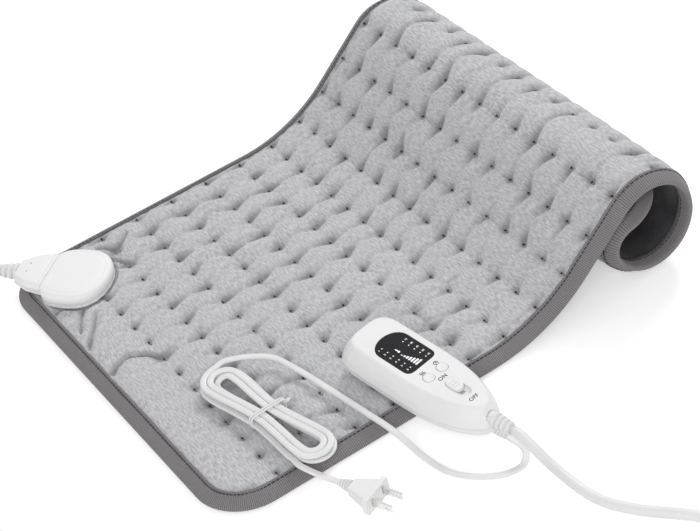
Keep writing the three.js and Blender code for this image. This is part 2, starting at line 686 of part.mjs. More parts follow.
function socketParts() {
  const outline = puckOutline();
  const split = SOCKET_BASE_HEIGHT;
  const pocketFloor = SOCKET_WALL;
  const base = cut(
    loft(outline, [[0, SOCKET_FOOT_EASE], [SOCKET_FOOT_EASE, 0], [split, 0]]),
    loft(outline, [[pocketFloor, SOCKET_WALL], [split + CUT_PAST, SOCKET_WALL]]),
  );
  const screwX = [SOCKET_SCREW_INSET - seamX, seamX - SOCKET_SCREW_SETBACK];
  const sinkTop = pocketFloor - SINK_SKIN;
  const screwHole = SCREW_DIAMETER / 2 + CLEARANCE;
  const post = (x) => roundBar(SCREW_DIAMETER, pocketFloor - ROOT, split, x);
  const hole = (x) => roundBar(screwHole, -CUT_PAST, split + CUT_PAST, x);
  const sink = (x) => roundBar(SCREW_HEAD / 2 + CLEARANCE, -CUT_PAST, sinkTop, x);
  const floor = cut(join(base, ...screwX.map(post)), ...screwX.map(hole), ...screwX.map(sink));
  add(socket, 'socket_base', floor, 'white');

  const low = split + CLEARANCE;
  const roof = SOCKET_HEIGHT - SOCKET_WALL;
  const outer = loft(outline, [
    [low, 0], [SOCKET_HEIGHT - SOCKET_DOME_DROP, 0],
    [SOCKET_HEIGHT - SOCKET_DOME_DROP / 3, SOCKET_DOME_INSET / 4], [SOCKET_HEIGHT, SOCKET_DOME_INSET],
  ]);
  const hollow = loft(outline, [
    [low - CUT_PAST, SOCKET_WALL], [roof - SOCKET_WALL, SOCKET_WALL], [roof, 2 * SOCKET_WALL],
  ]);
  const boss = (x) => roundBar(SCREW_DIAMETER, low, roof + ROOT, x);
  const thread = (x) => roundBar(screwHole, low - CUT_PAST, roof - CUT_PAST, x);
  const pinHole = PIN_DIAMETER / 2 + CLEARANCE;
  const ports = pinHeights.map((y) => pinBar(y, pinHole, seamX - 2 * SOCKET_WALL, seamX + CUT_PAST));
  const cover = cut(join(cut(outer, hollow), ...screwX.map(boss)), ...screwX.map(thread), ...ports);
  add(socket, 'socket_cover', cover, 'white');

  const blockBack = seamX - SOCKET_WALL - CLEARANCE;
  const blockFront = blockBack - CONTACT_BLOCK_DEPTH;
  const blockTop = roof - SOCKET_WALL - 2 * CLEARANCE;
  const block = box(blockFront, blockBack, -pinSpread, pinSpread, pocketFloor + CLEARANCE, blockTop);
  const bores = pinHeights.map((y) => pinBar(y, pinHole, blockFront - CUT_PAST, blockBack + CUT_PAST));
  add(socket, 'contact_block', cut(block, ...bores), 'dark');
  pinHeights.forEach((y, i) => {
    add(socket, `contact_pin_${i + 1}`, pinBar(y, PIN_DIAMETER / 2, blockFront, seamX + PIN_REACH), 'metal');
  });
  screwX.forEach((x, i) => {
    const headTop = sinkTop - CLEARANCE;
    const shank = roundBar(SCREW_DIAMETER / 2, headTop - ROOT, roof - 2 * CUT_PAST, x, 0, 8);
    const head = roundBar(SCREW_HEAD / 2, headTop - SOCKET_SCREW_HEAD, headTop, x, 0, 8);
    add(socket, `socket_screw_${i + 1}`, join(head, shank), 'metal');
  });
  const fuseY = SOCKET_WIDTH / 2 - FUSE_FROM_SIDE;
  const fuseZ = pocketFloor + CLEARANCE + FUSE_DIAMETER / 2;
  const fuse = alongX(roundBar(FUSE_DIAMETER / 2, -FUSE_LENGTH, 0, 0, 0, 8)).translate(0, fuseY, fuseZ);
  add(socket, 'thermal_fuse', fuse, 'metal');
}
socketParts();

// Lead plug: two shells round a contact carrier, with a ribbed strain relief behind

const plug = new THREE.Group();
plug.position.set(seamX + CLEARANCE, 0, axisHeight);
socket.add(plug);

// Four-sided section with eased corners, square to X.
function easedRing(x, halfAcross, low, high, ease) {
  const corners = [
    [halfAcross, low + ease], [halfAcross, high - ease], [halfAcross - ease, high], [ease - halfAcross, high],
    [-halfAcross, high - ease], [-halfAcross, low + ease], [ease - halfAcross, low], [halfAcross - ease, low],
  ];
  return corners.map(([y, z]) => new THREE.Vector3(x, y, z));
}

// A ribbed strain relief from a wide root to a narrow tip, along +X.
function strainRelief(length, rootRadius, tipRadius) {
  const profile = [[0, 0]];
  const pitch = length / RIBS;
  const [ribShare, flank, throat] = [0.62, 0.04, 0.8];
  for (let i = 0; i < RIBS; i += 1) {
    const radius = THREE.MathUtils.lerp(rootRadius, tipRadius, i / (RIBS - 1));
    const end = (i + ribShare) * pitch;
    profile.push([i * pitch, radius], [end, radius], [end + flank * pitch, radius * throat]);
    if (i < RIBS - 1) profile.push([(i + 1 - flank) * pitch, radius * throat]);
  }
  profile.push([length, tipRadius * throat], [length, 0]);
  return turned(profile, 8);
}

function plugParts() {
  const half = SEAM_WIDTH / 2 - PLUG_STEP;
  const neck = PLUG_NECK / 2;
  const [low, high] = [-PLUG_HEIGHT / 2, PLUG_HEIGHT / 2];
  const [waistAt, waist, taper] = [0.55, 0.86, 0.86];
  const levels = [
    [0, half, 1], [PLUG_FLANGE, half, 1],
    [PLUG_LENGTH * waistAt, half * waist, 1], [PLUG_LENGTH, neck, taper],
  ];
  const body = (grow, end) => ringsSolid(levels.map(([x, width, tall], i) => easedRing(
    i === 0 ? -end : Math.min(x, PLUG_LENGTH - SOCKET_WALL * (end > 0 ? 1 : 0)),
    width - grow, low * tall + grow, high * tall - grow, PLUG_EASE,
  )));
  const shell = cut(body(0, 0), body(SOCKET_WALL, CUT_PAST));
  const [past, side] = [PLUG_LENGTH + CUT_PAST, half + CUT_PAST];
  const below = box(-CUT_PAST, past, -side, side, low - CUT_PAST, CLEARANCE / 2);
  const above = box(-CUT_PAST, past, -side, side, -CLEARANCE / 2, high + CUT_PAST);
  add(plug, 'plug_upper_shell', cut(shell, below), 'white');
  add(plug, 'plug_lower_shell', cut(shell, above), 'white');
  const carrierDepth = PIN_REACH + SLEEVE_PAST_PIN;
  const inside = SOCKET_WALL + CLEARANCE;
  const carrier = box(0, carrierDepth, -pinSpread, pinSpread, low + inside, high - inside);
  const bore = (y, radius, from, to) => alongX(roundBar(radius, from, to, 0, 0, 8)).translate(0, y, 0);
  const sleeveRadius = PIN_DIAMETER / 2 + CLEARANCE + SLEEVE_WALL;
  const holes = pinHeights.map((y) => bore(y, sleeveRadius + CLEARANCE, -CUT_PAST, carrierDepth + CUT_PAST));
  add(plug, 'contact_carrier', cut(carrier, ...holes), 'dark');
  pinHeights.forEach((y, i) => {
    const sleeve = cut(
      bore(y, sleeveRadius, ROOT, carrierDepth + SLEEVE_PAST_PIN),
      bore(y, PIN_DIAMETER / 2 + CLEARANCE, -CUT_PAST, PIN_REACH + SLEEVE_PAST_PIN / 2),
    );
    add(plug, `contact_sleeve_${i + 1}`, sleeve, 'metal');
  });
  const relief = strainRelief(RELIEF_LENGTH, PLUG_RELIEF_ROOT / 2, RIB_TIP * LEAD_DIAMETER);
  add(plug, 'plug_strain_relief', relief.translate(PLUG_LENGTH + CLEARANCE, 0, 0), 'white');
}
plugParts();

// Hand controller: lower and upper shell round a board, with a window, two buttons and a slide switch

const handset = new THREE.Group();
const handsetLift = padHeight + CLEARANCE - HANDSET_REST * Math.sin(HANDSET_TILT);
handset.position.set(HANDSET_X, front + HANDSET_FROM_SIDE, handsetLift);
handset.rotation.set(0, HANDSET_TILT, HANDSET_YAW, 'ZYX');
heatingPad.add(handset);

// Outline of the controller: broad at the back, drawn in to a round nose at the cord end.
function handsetOutline() {
  const [end, half, nose] = [HANDSET_LENGTH / 2, HANDSET_WIDTH / 2, HANDSET_NOSE / 2];
  const shape = new THREE.Shape();
  const [corner, ease] = [HANDSET_BACK_CORNER, HANDSET_BACK_CORNER / 3];
  shape.moveTo(corner - end, -half);
  shape.lineTo(0, -half);
  shape.bezierCurveTo(end * 0.45, -half, end - nose, -nose * 1.15, end - nose * 0.55, -nose * 0.8);
  shape.bezierCurveTo(end - nose * 0.1, -nose * 0.5, end, -nose * 0.3, end, 0);
  shape.bezierCurveTo(end, nose * 0.3, end - nose * 0.1, nose * 0.5, end - nose * 0.55, nose * 0.8);
  shape.bezierCurveTo(end - nose, nose * 1.15, end * 0.45, half, 0, half);
  shape.lineTo(corner - end, half);
  shape.bezierCurveTo(ease - end, half, -end, half - ease, -end, half - corner);
  shape.lineTo(-end, corner - half);
  shape.bezierCurveTo(-end, ease - half, ease - end, -half, corner - end, -half);
  return shape.getPoints(5).slice(0, -1);
}

// The window's outline: arched at the back, square with eased corners towards the buttons.
function windowShape(grow) {
  const [arch, to] = [windowFrom + WINDOW_ARCH, windowTo + grow];
  const half = WINDOW_WIDTH / 2 + grow;
  const shape = new THREE.Shape();
  shape.moveTo(arch, -half);
  shape.lineTo(to - WINDOW_CORNER, -half);
  shape.quadraticCurveTo(to, -half, to, WINDOW_CORNER - half);
  shape.lineTo(to, half - WINDOW_CORNER);
  shape.quadraticCurveTo(to, half, to - WINDOW_CORNER, half);
  shape.lineTo(arch, half);
  shape.absellipse(arch, 0, WINDOW_ARCH + grow, half, Math.PI / 2, 1.5 * Math.PI);
  return shape;
}

// A racetrack outline along X.
function racetrack(centreX, length, width) {
  const [reach, radius] = [length / 2 - width / 2, width / 2];
  const shape = new THREE.Shape();
  shape.absarc(centreX + reach, 0, radius, -Math.PI / 2, Math.PI / 2);
  shape.absarc(centreX - reach, 0, radius, Math.PI / 2, 1.5 * Math.PI);
  return shape;
}

const boardTop = BOARD_HEIGHT + BOARD_THICKNESS;
const shellRoof = HANDSET_HEIGHT - SHELL_WALL;
const nose = HANDSET_LENGTH / 2;
const switchX = nose - SWITCH_FROM_NOSE;
const buttonX = switchX - BUTTON_TO_SWITCH;
const [windowFrom, windowTo] = [WINDOW_FROM_BACK - nose, buttonX - WINDOW_TO_BUTTON];
const [boardFrom, boardTo] = [BOARD_FROM_BACK - nose, nose - BOARD_FROM_NOSE];
const buttonYs = { heat: -BUTTON_SPACING / 2, timer: BUTTON_SPACING / 2 };
const [backScrewX, frontScrewX] = [BACK_SCREW_INSET - nose, nose - FRONT_SCREW_INSET];
const screwPlaces = [
  [backScrewX, -BACK_SCREW_Y], [backScrewX, BACK_SCREW_Y],
  [frontScrewX, -FRONT_SCREW_Y], [frontScrewX, FRONT_SCREW_Y],
];
const leadCollar = LEAD_DIAMETER / 2 + COLLAR_WALL;
const mainsCollar = MAINS_DIAMETER / 2 + COLLAR_WALL;

function glandHole(height, radius) {
  const bar = roundBar(radius + CLEARANCE, nose - 2 * COLLAR_DEPTH, nose + CUT_PAST);
  return alongX(bar).translate(0, 0, height);
}

function handsetShells() {
  const outline = handsetOutline();
  const lowTop = SPLIT_HEIGHT - CLEARANCE / 2;
  const screwHole = SCREW_DIAMETER / 2 + CLEARANCE;
  const tray = cut(
    loft(outline, [[0, BELLY_INSET], [BELLY_EASE, BELLY_INSET / 4], [lowTop, 0]]),
    loft(outline, [
      [SHELL_WALL, SHELL_WALL + 0.75 * BELLY_INSET], [SHELL_WALL + BELLY_EASE, SHELL_WALL],
      [lowTop + CUT_PAST, SHELL_WALL],
    ]),
  );
  const rooted = SHELL_WALL - ROOT;
  const posts = screwPlaces.map(([x, y]) => roundBar(SCREW_HEAD / 2 + POST_WALL, rooted, lowTop, x, y));
  const restX = [boardFrom + BOARD_REST_INSET, boardTo - BOARD_REST_INSET];
  const restY = BOARD_WIDTH / 2 - BOARD_REST_INSET;
  const rests = restX.flatMap((x) => [-restY, restY].map((y) => roundBar(
    BOARD_REST_RADIUS, rooted, BOARD_HEIGHT - CLEARANCE, x, y, 8,
  )));
  const lower = cut(
    join(tray, ...posts, ...rests),
    ...screwPlaces.map(([x, y]) => roundBar(screwHole, -CUT_PAST, lowTop + CUT_PAST, x, y, 8)),
    ...screwPlaces.map(([x, y]) => roundBar(SCREW_HEAD / 2 + CLEARANCE, -CUT_PAST, SCREW_SINK, x, y)),
    glandHole(MAINS_EXIT_HEIGHT, mainsCollar),
  );
  add(handset, 'handset_lower_shell', lower, 'white');

  const upBottom = SPLIT_HEIGHT + CLEARANCE / 2;
  const shoulder = HANDSET_HEIGHT - SHOULDER_DROP;
  const skin = loft(outline, [
    [upBottom, 0], [shoulder - SHOULDER_DROP, FLANK_INSET], [shoulder, SHOULDER_INSET],
    [HANDSET_HEIGHT - PLATEAU_EASE, PLATEAU_INSET - PLATEAU_EASE],
    [HANDSET_HEIGHT, PLATEAU_INSET + PLATEAU_EASE],
  ]);
  const crown = cut(
    skin,
    loft(outline, [
      [upBottom - CUT_PAST, SHELL_WALL], [shoulder - SHOULDER_DROP - CUT_PAST, SHELL_WALL + FLANK_INSET],
      [shellRoof, SHELL_WALL + PLATEAU_INSET - 2 * PLATEAU_EASE],
    ]),
  );
  const bossTop = shellRoof + ROOT;
  const bosses = screwPlaces.map(([x, y]) => common(
    skin, roundBar(SCREW_HEAD / 2 + BOSS_WALL, upBottom, bossTop, x, y),
  ));
  const slotLength = KNOB_LENGTH + KNOB_TRAVEL + 2 * CLEARANCE;
  const slotCentre = switchX + KNOB_TRAVEL / 2;
  const [through, above] = [shellRoof - 2 * SHELL_WALL, HANDSET_HEIGHT + CUT_PAST];
  const buttonHole = BUTTON_DIAMETER / 2 + CLEARANCE;
  const upper = cut(
    join(crown, ...bosses),
    ...screwPlaces.map(([x, y]) => roundBar(screwHole, upBottom - CUT_PAST, shellRoof - SHELL_WALL, x, y, 8)),
    prism(windowShape(CLEARANCE), through, above),
    ...Object.values(buttonYs).map((y) => roundBar(buttonHole, through, above, buttonX, y, 16)),
    prism(racetrack(slotCentre, slotLength, KNOB_WIDTH + 2 * CLEARANCE), through, above),
    glandHole(LEAD_EXIT_HEIGHT, leadCollar),
  );
  add(handset, 'handset_upper_shell', upper, 'white');

  screwPlaces.forEach(([x, y], i) => {
    const headTop = SCREW_SINK - CLEARANCE;
    const shankTop = shellRoof - SHELL_WALL - CUT_PAST;
    const shank = roundBar(SCREW_DIAMETER / 2, headTop - ROOT, shankTop, x, y, 8);
    const head = roundBar(SCREW_HEAD / 2, headTop - SCREW_HEAD_HEIGHT, headTop, x, y, 8);
    add(handset, `handset_screw_${i + 1}`, join(head, shank), 'metal');
  });
}

function handsetInside() {
  const boardHalf = BOARD_WIDTH / 2;
  const board = box(boardFrom, boardTo, -boardHalf, boardHalf, BOARD_HEIGHT, boardTop);
  add(handset, 'circuit_board', board, 'board');

  const onBoard = boardTop + CLEARANCE;
  const lensTop = HANDSET_HEIGHT - WINDOW_SUNK;
  add(handset, 'display_window', prism(windowShape(0), lensTop - WINDOW_THICKNESS, lensTop), 'lens');
  const guideTop = lensTop - WINDOW_THICKNESS - CLEARANCE;
  const [guideFrom, guideTo] = [windowFrom + 2 * GUIDE_INSET, windowTo - GUIDE_INSET];
  const guideHalf = WINDOW_WIDTH / 2 - GUIDE_INSET;
  const guide = box(guideFrom, guideTo, -guideHalf, guideHalf, onBoard, guideTop);
  add(handset, 'light_guide', guide, 'felt');

  const flangeTop = shellRoof - CLEARANCE;
  const capFoot = flangeTop - BUTTON_FOOT;
  const flangeFoot = flangeTop - FLANGE_THICKNESS;
  const switchHeight = capFoot - BUTTON_TRAVEL - CLEARANCE;
  for (const [name, y] of Object.entries(buttonYs)) {
    const radius = BUTTON_DIAMETER / 2;
    const top = HANDSET_HEIGHT + BUTTON_PROUD;
    const flange = radius + FLANGE_WIDTH;
    const stem = radius / 2;
    const cap = turned([
      [capFoot, 0], [capFoot, stem], [flangeFoot, stem], [flangeFoot, flange], [flangeTop, flange],
      [flangeTop, radius], [top - BUTTON_EASE, radius], [top, radius - BUTTON_EASE], [top - BUTTON_DISH, 0],
    ], 12).rotateY(-Math.PI / 2);
    add(handset, `${name}_button`, cap.translate(buttonX, y, 0), 'white');
    const [half, plungerFoot] = [TACT_SIZE / 2, switchHeight - PLUNGER_HEIGHT];
    const body = box(buttonX - half, buttonX + half, y - half, y + half, onBoard, plungerFoot);
    const plunger = roundBar(PLUNGER_DIAMETER / 2, plungerFoot - ROOT, switchHeight, buttonX, y, 8);
    add(handset, `${name}_switch`, join(body, plunger), 'dark');
  }

  const slotCentre = switchX + KNOB_TRAVEL / 2;
  const frameHalf = (KNOB_LENGTH + KNOB_TRAVEL) / 2 + SWITCH_RIM;
  const frameSide = KNOB_WIDTH / 2 + SWITCH_RIM;
  const deck = shellRoof - CLEARANCE;
  const frame = box(slotCentre - frameHalf, slotCentre + frameHalf, -frameSide, frameSide, onBoard, deck);
  const [stemHalf, stemSide] = [STEM_LENGTH / 2, STEM_WIDTH / 2];
  const trackFrom = switchX - stemHalf - CLEARANCE;
  const trackTo = switchX + KNOB_TRAVEL + stemHalf + CLEARANCE;
  const [trackSide, trackFloor] = [stemSide + CLEARANCE, deck - STEM_DEPTH - CLEARANCE];
  const track = box(trackFrom, trackTo, -trackSide, trackSide, trackFloor, deck + CUT_PAST);
  add(handset, 'slide_switch', cut(frame, track), 'white');
  const knobTop = HANDSET_HEIGHT + KNOB_PROUD;
  const stem = box(
    switchX - stemHalf, switchX + stemHalf, -stemSide, stemSide, deck - STEM_DEPTH, deck + CLEARANCE + ROOT,
  );
  const outline = racetrack(switchX, KNOB_LENGTH, KNOB_WIDTH);
  const slider = prism(outline, deck + CLEARANCE, knobTop, KNOB_EASE);
  const ribSide = KNOB_WIDTH / 2 - SWITCH_RIM;
  const ribs = [-1, 0, 1].map((k) => {
    const x = switchX + k * KNOB_RIB_PITCH;
    return box(x - KNOB_RIB / 2, x + KNOB_RIB / 2, -ribSide, ribSide, knobTop - ROOT, knobTop + KNOB_RIB / 2);
  });
  add(handset, 'power_knob', join(slider, stem, ...ribs), 'white');
}

// Glands at the nose: a collar through the shell wall, and ribs outside.
function gland(height, collar, cordDiameter, length) {
  const ribs = strainRelief(length, RIB_ROOT * cordDiameter, RIB_TIP * cordDiameter);
  const relief = ribs.translate(nose + CLEARANCE, 0, height);
  const inside = alongX(roundBar(collar, nose - COLLAR_DEPTH, nose + 2 * ROOT)).translate(0, 0, height);
  return join(relief, inside);
}

handsetShells();
handsetInside();
const leadGland = gland(LEAD_EXIT_HEIGHT, leadCollar, LEAD_DIAMETER, LEAD_GLAND_LENGTH);
add(handset, 'lead_gland', leadGland, 'white');
const mainsGland = gland(MAINS_EXIT_HEIGHT, mainsCollar, MAINS_DIAMETER, MAINS_GLAND_LENGTH);
add(handset, 'mains_gland', mainsGland, 'white');

// Hank: the mains cord wound to and fro, two layers of loops drawn in at the waist under a tie

const hank = new THREE.Group();
const strandPitch = MAINS_DIAMETER + STRAND_GAP;
const hankFloor = padHeight + TIE_THICKNESS + 2 * CLEARANCE + MAINS_DIAMETER / 2;
hank.position.set(HANK_X, front + HANK_FROM_SIDE, hankFloor);
hank.rotation.z = HANK_AZIMUTH;
heatingPad.add(hank);

// One loop of the outermost turn: round ends, and two runs drawn in to the waist.
function hankOutline(turn) {
  const runReach = HANK_LENGTH / 2 - HANK_END_RADIUS;
  const share = turn - Math.floor(turn);
  const half = HANK_END_SHARE / 2;
  const arc = (centreX, angle) => new THREE.Vector2(
    centreX + HANK_END_RADIUS * Math.cos(angle), HANK_END_RADIUS * Math.sin(angle),
  );
  const run = (x, side) => {
    const drawnIn = (HANK_END_RADIUS - HANK_WAIST / 2) * (1 + Math.cos((Math.PI * x) / runReach)) / 2;
    return new THREE.Vector2(x, side * (HANK_END_RADIUS - drawnIn));
  };
  if (share < half) return arc(runReach, (share / half) * (Math.PI / 2));
  if (share < 0.5 - half) return run(runReach * (1 - 2 * (share - half) / (0.5 - 2 * half)), 1);
  if (share < 0.5 + half) return arc(-runReach, Math.PI * (1 + (share - 0.5) / (2 * half)));
  if (share < 1 - half) return run(runReach * (2 * (share - 0.5 - half) / (0.5 - 2 * half) - 1), -1);
  return arc(runReach, (Math.PI / 2) * ((share - 1) / half));
}

// Centre of the cord after t turns: in over the upper layer, down along a run, out over the lower.
function hankPoint(t) {
  const here = hankOutline(t);
  const along = hankOutline(t + 0.002).sub(hankOutline(t - 0.002)).normalize();
  const inwards = strandPitch * (HANK_LAYER_TURNS - Math.abs(t - HANK_LAYER_TURNS));
  const drop = THREE.MathUtils.smoothstep(t, HANK_LAYER_TURNS - 0.3, HANK_LAYER_TURNS + 0.3);
  return new THREE.Vector3(here.x - inwards * along.y, here.y + inwards * along.x, strandPitch * (1 - drop));
}

function hankPoints() {
  const perTurn = 24;
  const steps = Math.round(HANK_TURNS * perTurn);
  const wound = Array.from({ length: steps + 1 }, (_, i) => hankPoint(i / perTurn));
  const start = wound[0].clone().add(new THREE.Vector3(0, -MAINS_DIAMETER, 0));
  const end = wound.at(-1).clone().add(new THREE.Vector3(-MAINS_DIAMETER, 0, 0));
  return [start, ...wound, end];
}

const loops = hankPoints();
const up = new THREE.Vector3(0, 0, 1);
add(hank, 'cord_hank', tube(loops, MAINS_DIAMETER / 2, 6, loops.map(() => up)), 'cord');

// Tie: a flat band round the waist.
function hankTie() {
  const half = HANK_WAIST / 2 + strandPitch / 4 + MAINS_DIAMETER / 2 + CLEARANCE;
  const [low, high] = [-MAINS_DIAMETER / 2 - CLEARANCE, strandPitch + MAINS_DIAMETER / 2 + CLEARANCE];
  const wall = TIE_THICKNESS;
  const inner = easedRing(0, half, low, high, TIE_EASE);
  const outer = easedRing(0, half + wall, low - wall, high + wall, TIE_EASE + wall / 2);
  const at = (ring, x) => ring.map((p) => p.clone().setX(x));
  const [back, front] = [-TIE_WIDTH / 2, TIE_WIDTH / 2];
  return ringsSolid([at(outer, back), at(outer, front), at(inner, front), at(inner, back)], true);
}
add(hank, 'hank_tie', hankTie(), 'cord');

// Mains plug on the table in front of the pad

const mainsPlug = new THREE.Group();
mainsPlug.position.set(MAINS_PLUG_X, front - MAINS_PLUG_FROM_SIDE, MAINS_PLUG_HEIGHT / 2 + CLEARANCE);
mainsPlug.rotation.z = MAINS_PLUG_AZIMUTH;
heatingPad.add(mainsPlug);

function mainsPlugParts() {
  const from = MAINS_RELIEF_LENGTH + CLEARANCE;
  const lip = MAINS_PLUG_LIP;
  const to = from + MAINS_PLUG_LENGTH;
  const [half, tall] = [MAINS_PLUG_WIDTH / 2, MAINS_PLUG_HEIGHT / 2];
  const [slim, broad] = [0.6, 0.84];
  const body = ringsSolid([
    easedRing(from, MAINS_PLUG_NECK / 2, -tall * slim, tall * slim, MAINS_PLUG_EASE),
    easedRing(to - lip, half * broad, -tall * broad, tall * broad, MAINS_PLUG_EASE),
    easedRing(to - lip, half, -tall, tall, MAINS_PLUG_EASE),
    easedRing(to, half, -tall, tall, MAINS_PLUG_EASE),
  ]);
  const seat = BLADE_THICKNESS / 2 + CLEARANCE;
  const slots = [-1, 1].map((side) => box(
    to - BLADE_ROOT, to + CUT_PAST, (side * BLADE_SPACING) / 2 - seat, (side * BLADE_SPACING) / 2 + seat,
    -BLADE_WIDTH / 2 - CLEARANCE, BLADE_WIDTH / 2 + CLEARANCE,
  ));
  add(mainsPlug, 'mains_plug', cut(body, ...slots), 'white');
  const relief = strainRelief(MAINS_RELIEF_LENGTH, RIB_TIP * MAINS_DIAMETER, MAINS_PLUG_RELIEF / 2);
  add(mainsPlug, 'mains_plug_relief', relief, 'white');
  [-1, 1].forEach((side, i) => {
    const y = (side * BLADE_SPACING) / 2;
    const [thin, wide] = [BLADE_THICKNESS / 2, BLADE_WIDTH / 2];
    const blade = box(to - BLADE_ROOT + CLEARANCE, to + BLADE_LENGTH, y - thin, y + thin, -wide, wide);
    const hole = roundBar(BLADE_EYE / 2, -BLADE_THICKNESS, BLADE_THICKNESS).rotateX(Math.PI / 2);
    const eye = hole.translate(to + BLADE_LENGTH - BLADE_EYE_INSET, y, 0);
    add(mainsPlug, `plug_blade_${i + 1}`, cut(blade, eye), 'metal');
  });
}
mainsPlugParts();

// Free cords, laid from piece to piece over hand-chosen points

heatingPad.updateMatrixWorld(true);

function placeOf(group, x, y, z) {
  return group.localToWorld(new THREE.Vector3(x, y, z));
}

// Points measured from the pad's front or back edge.
function pointsFrom(edge, ...list) {
  return list.map(([x, y, z]) => new THREE.Vector3(x, edge + y, z));
}

const mainsLow = MAINS_DIAMETER / 2 + CLEARANCE;
const leadLow = LEAD_DIAMETER / 2 + CLEARANCE;
const onPad = hankFloor;

function mainsRun() {
  const glandEnd = nose + MAINS_GLAND_LENGTH + 2 * CLEARANCE;
  const start = placeOf(handset, glandEnd, 0, MAINS_EXIT_HEIGHT);
  const straight = placeOf(handset, glandEnd + MAINS_DIAMETER, 0, MAINS_EXIT_HEIGHT);
  const entry = loops[0];
  const end = placeOf(hank, entry.x, entry.y - CLEARANCE, entry.z);
  const before = placeOf(hank, entry.x, entry.y - CLEARANCE - 2 * MAINS_DIAMETER, entry.z);
  const laid = pointsFrom(front,
    [79, -80, mainsLow + 1.5], [71, -89, mainsLow], [56, -88, mainsLow], [41, -77, mainsLow],
    [30, -61, mainsLow], [25, -40, mainsLow + 1], [20, -13, onPad - 2], [15, 15, onPad],
    [8, 57, onPad + 0.5], [2, 89, onPad + 1], [-6, 110, onPad + 3]);
  return cordAlong([start, straight, ...laid, before, end], MAINS_DIAMETER, 42, 8);
}

function mainsTail() {
  const exit = loops.at(-1);
  const start = placeOf(hank, exit.x - CLEARANCE, exit.y, exit.z);
  const straight = placeOf(hank, exit.x - CLEARANCE - 2 * MAINS_DIAMETER, exit.y + 1, exit.z);
  const end = placeOf(mainsPlug, -CLEARANCE, 0, 0);
  const before = placeOf(mainsPlug, -CLEARANCE - 2 * MAINS_DIAMETER, 0, 0);
  const laid = pointsFrom(front, [-43.6, -2.5, onPad - 2.2]);
  return cordAlong([start, straight, ...laid, before, end], MAINS_DIAMETER, 14, 8);
}

function padLead() {
  const glandEnd = nose + LEAD_GLAND_LENGTH + 2 * CLEARANCE;
  const start = placeOf(handset, glandEnd, 0, LEAD_EXIT_HEIGHT);
  const straight = placeOf(handset, glandEnd + LEAD_DIAMETER, 0, LEAD_EXIT_HEIGHT);
  const reliefEnd = PLUG_LENGTH + RELIEF_LENGTH + 2 * CLEARANCE;
  const axisAbove = placeOf(plug, 0, 0, 0).z;
  const before = placeOf(plug, reliefEnd + LEAD_DIAMETER, 0, 0);
  const end = placeOf(plug, reliefEnd, 0, 0);
  const laid = pointsFrom(front,
    [82, -115, leadLow + 2], [87, -150, leadLow], [99, -173, leadLow], [125, -206, leadLow],
    [133, -227, leadLow], [125, -249, leadLow], [104, -257, leadLow], [83, -249, leadLow],
    [5, -163, leadLow], [-73, -77, leadLow], [-151, 9, leadLow], [-228, 95, leadLow],
    [-237, 111, leadLow], [-236, 126, leadLow]);
  const behind = pointsFrom(back,
    [-220, -123, leadLow], [-197, -59, leadLow], [-169, 1, leadLow + 1], [-158, 17, leadLow + 4],
    [-140, 23, leadLow + 8], [-127, 19, axisAbove]);
  laid.push(...behind);
  return cordAlong([start, straight, ...laid, before, end], LEAD_DIAMETER, 64, 8);
}

add(heatingPad, 'mains_cord', mainsRun(), 'cord');
add(heatingPad, 'mains_tail', mainsTail(), 'cord');
add(heatingPad, 'pad_lead', padLead(), 'cord');

export default heatingPad;
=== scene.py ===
import json
import random
from functools import partialmethod
from math import copysign, cos, exp, floor, hypot, pi, radians, sin, sqrt

import bmesh
import bpy
from bmesh import ops
from mathutils import Matrix, Vector, kdtree, noise


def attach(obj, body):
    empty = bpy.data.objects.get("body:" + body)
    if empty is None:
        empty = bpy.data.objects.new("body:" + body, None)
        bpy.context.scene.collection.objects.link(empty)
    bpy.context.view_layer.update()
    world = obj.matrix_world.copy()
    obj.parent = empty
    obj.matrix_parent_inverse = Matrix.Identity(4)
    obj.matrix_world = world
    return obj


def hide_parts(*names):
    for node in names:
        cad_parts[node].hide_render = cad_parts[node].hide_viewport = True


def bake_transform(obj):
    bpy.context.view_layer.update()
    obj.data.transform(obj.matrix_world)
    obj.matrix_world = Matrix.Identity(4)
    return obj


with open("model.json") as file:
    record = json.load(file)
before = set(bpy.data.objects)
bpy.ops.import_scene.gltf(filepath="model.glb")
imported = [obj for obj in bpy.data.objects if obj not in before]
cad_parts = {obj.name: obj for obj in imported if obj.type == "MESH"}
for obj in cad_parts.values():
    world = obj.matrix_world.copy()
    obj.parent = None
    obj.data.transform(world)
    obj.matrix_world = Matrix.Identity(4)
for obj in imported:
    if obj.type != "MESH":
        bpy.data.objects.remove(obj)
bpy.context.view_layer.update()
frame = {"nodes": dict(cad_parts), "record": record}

MM = 0.001
ROOT = "pad_and_controller"
nodes = frame["nodes"]

# Pad: outline, lie and layers, in millimetres
PAD_WIDTH, PAD_LENGTH, PAD_HEIGHT, PAD_CORNER, ORIGIN_FROM_EDGE = 350, 601, 10.5, 40, 112
RISE_RADIUS, RAMP_ANGLE = 134, radians(40)
ROLL_RADIUS, ROLL_TURN = 32, 1.5 * pi
FOLD_RADIUS, FOLD_TURN, ROLL_GAP, FLOOR_GAP = 14, radians(118), 2.2, 0.5
TAPE_HEIGHT, TAPE_ROUND, BACKING_THICKNESS, HEM = 6.4, 32, 1.1, 1.9
TUFT_PITCH, LINE_PITCH, FIRST_LINE, LAST_COLUMN = 22.8, 32.4, 52, 7

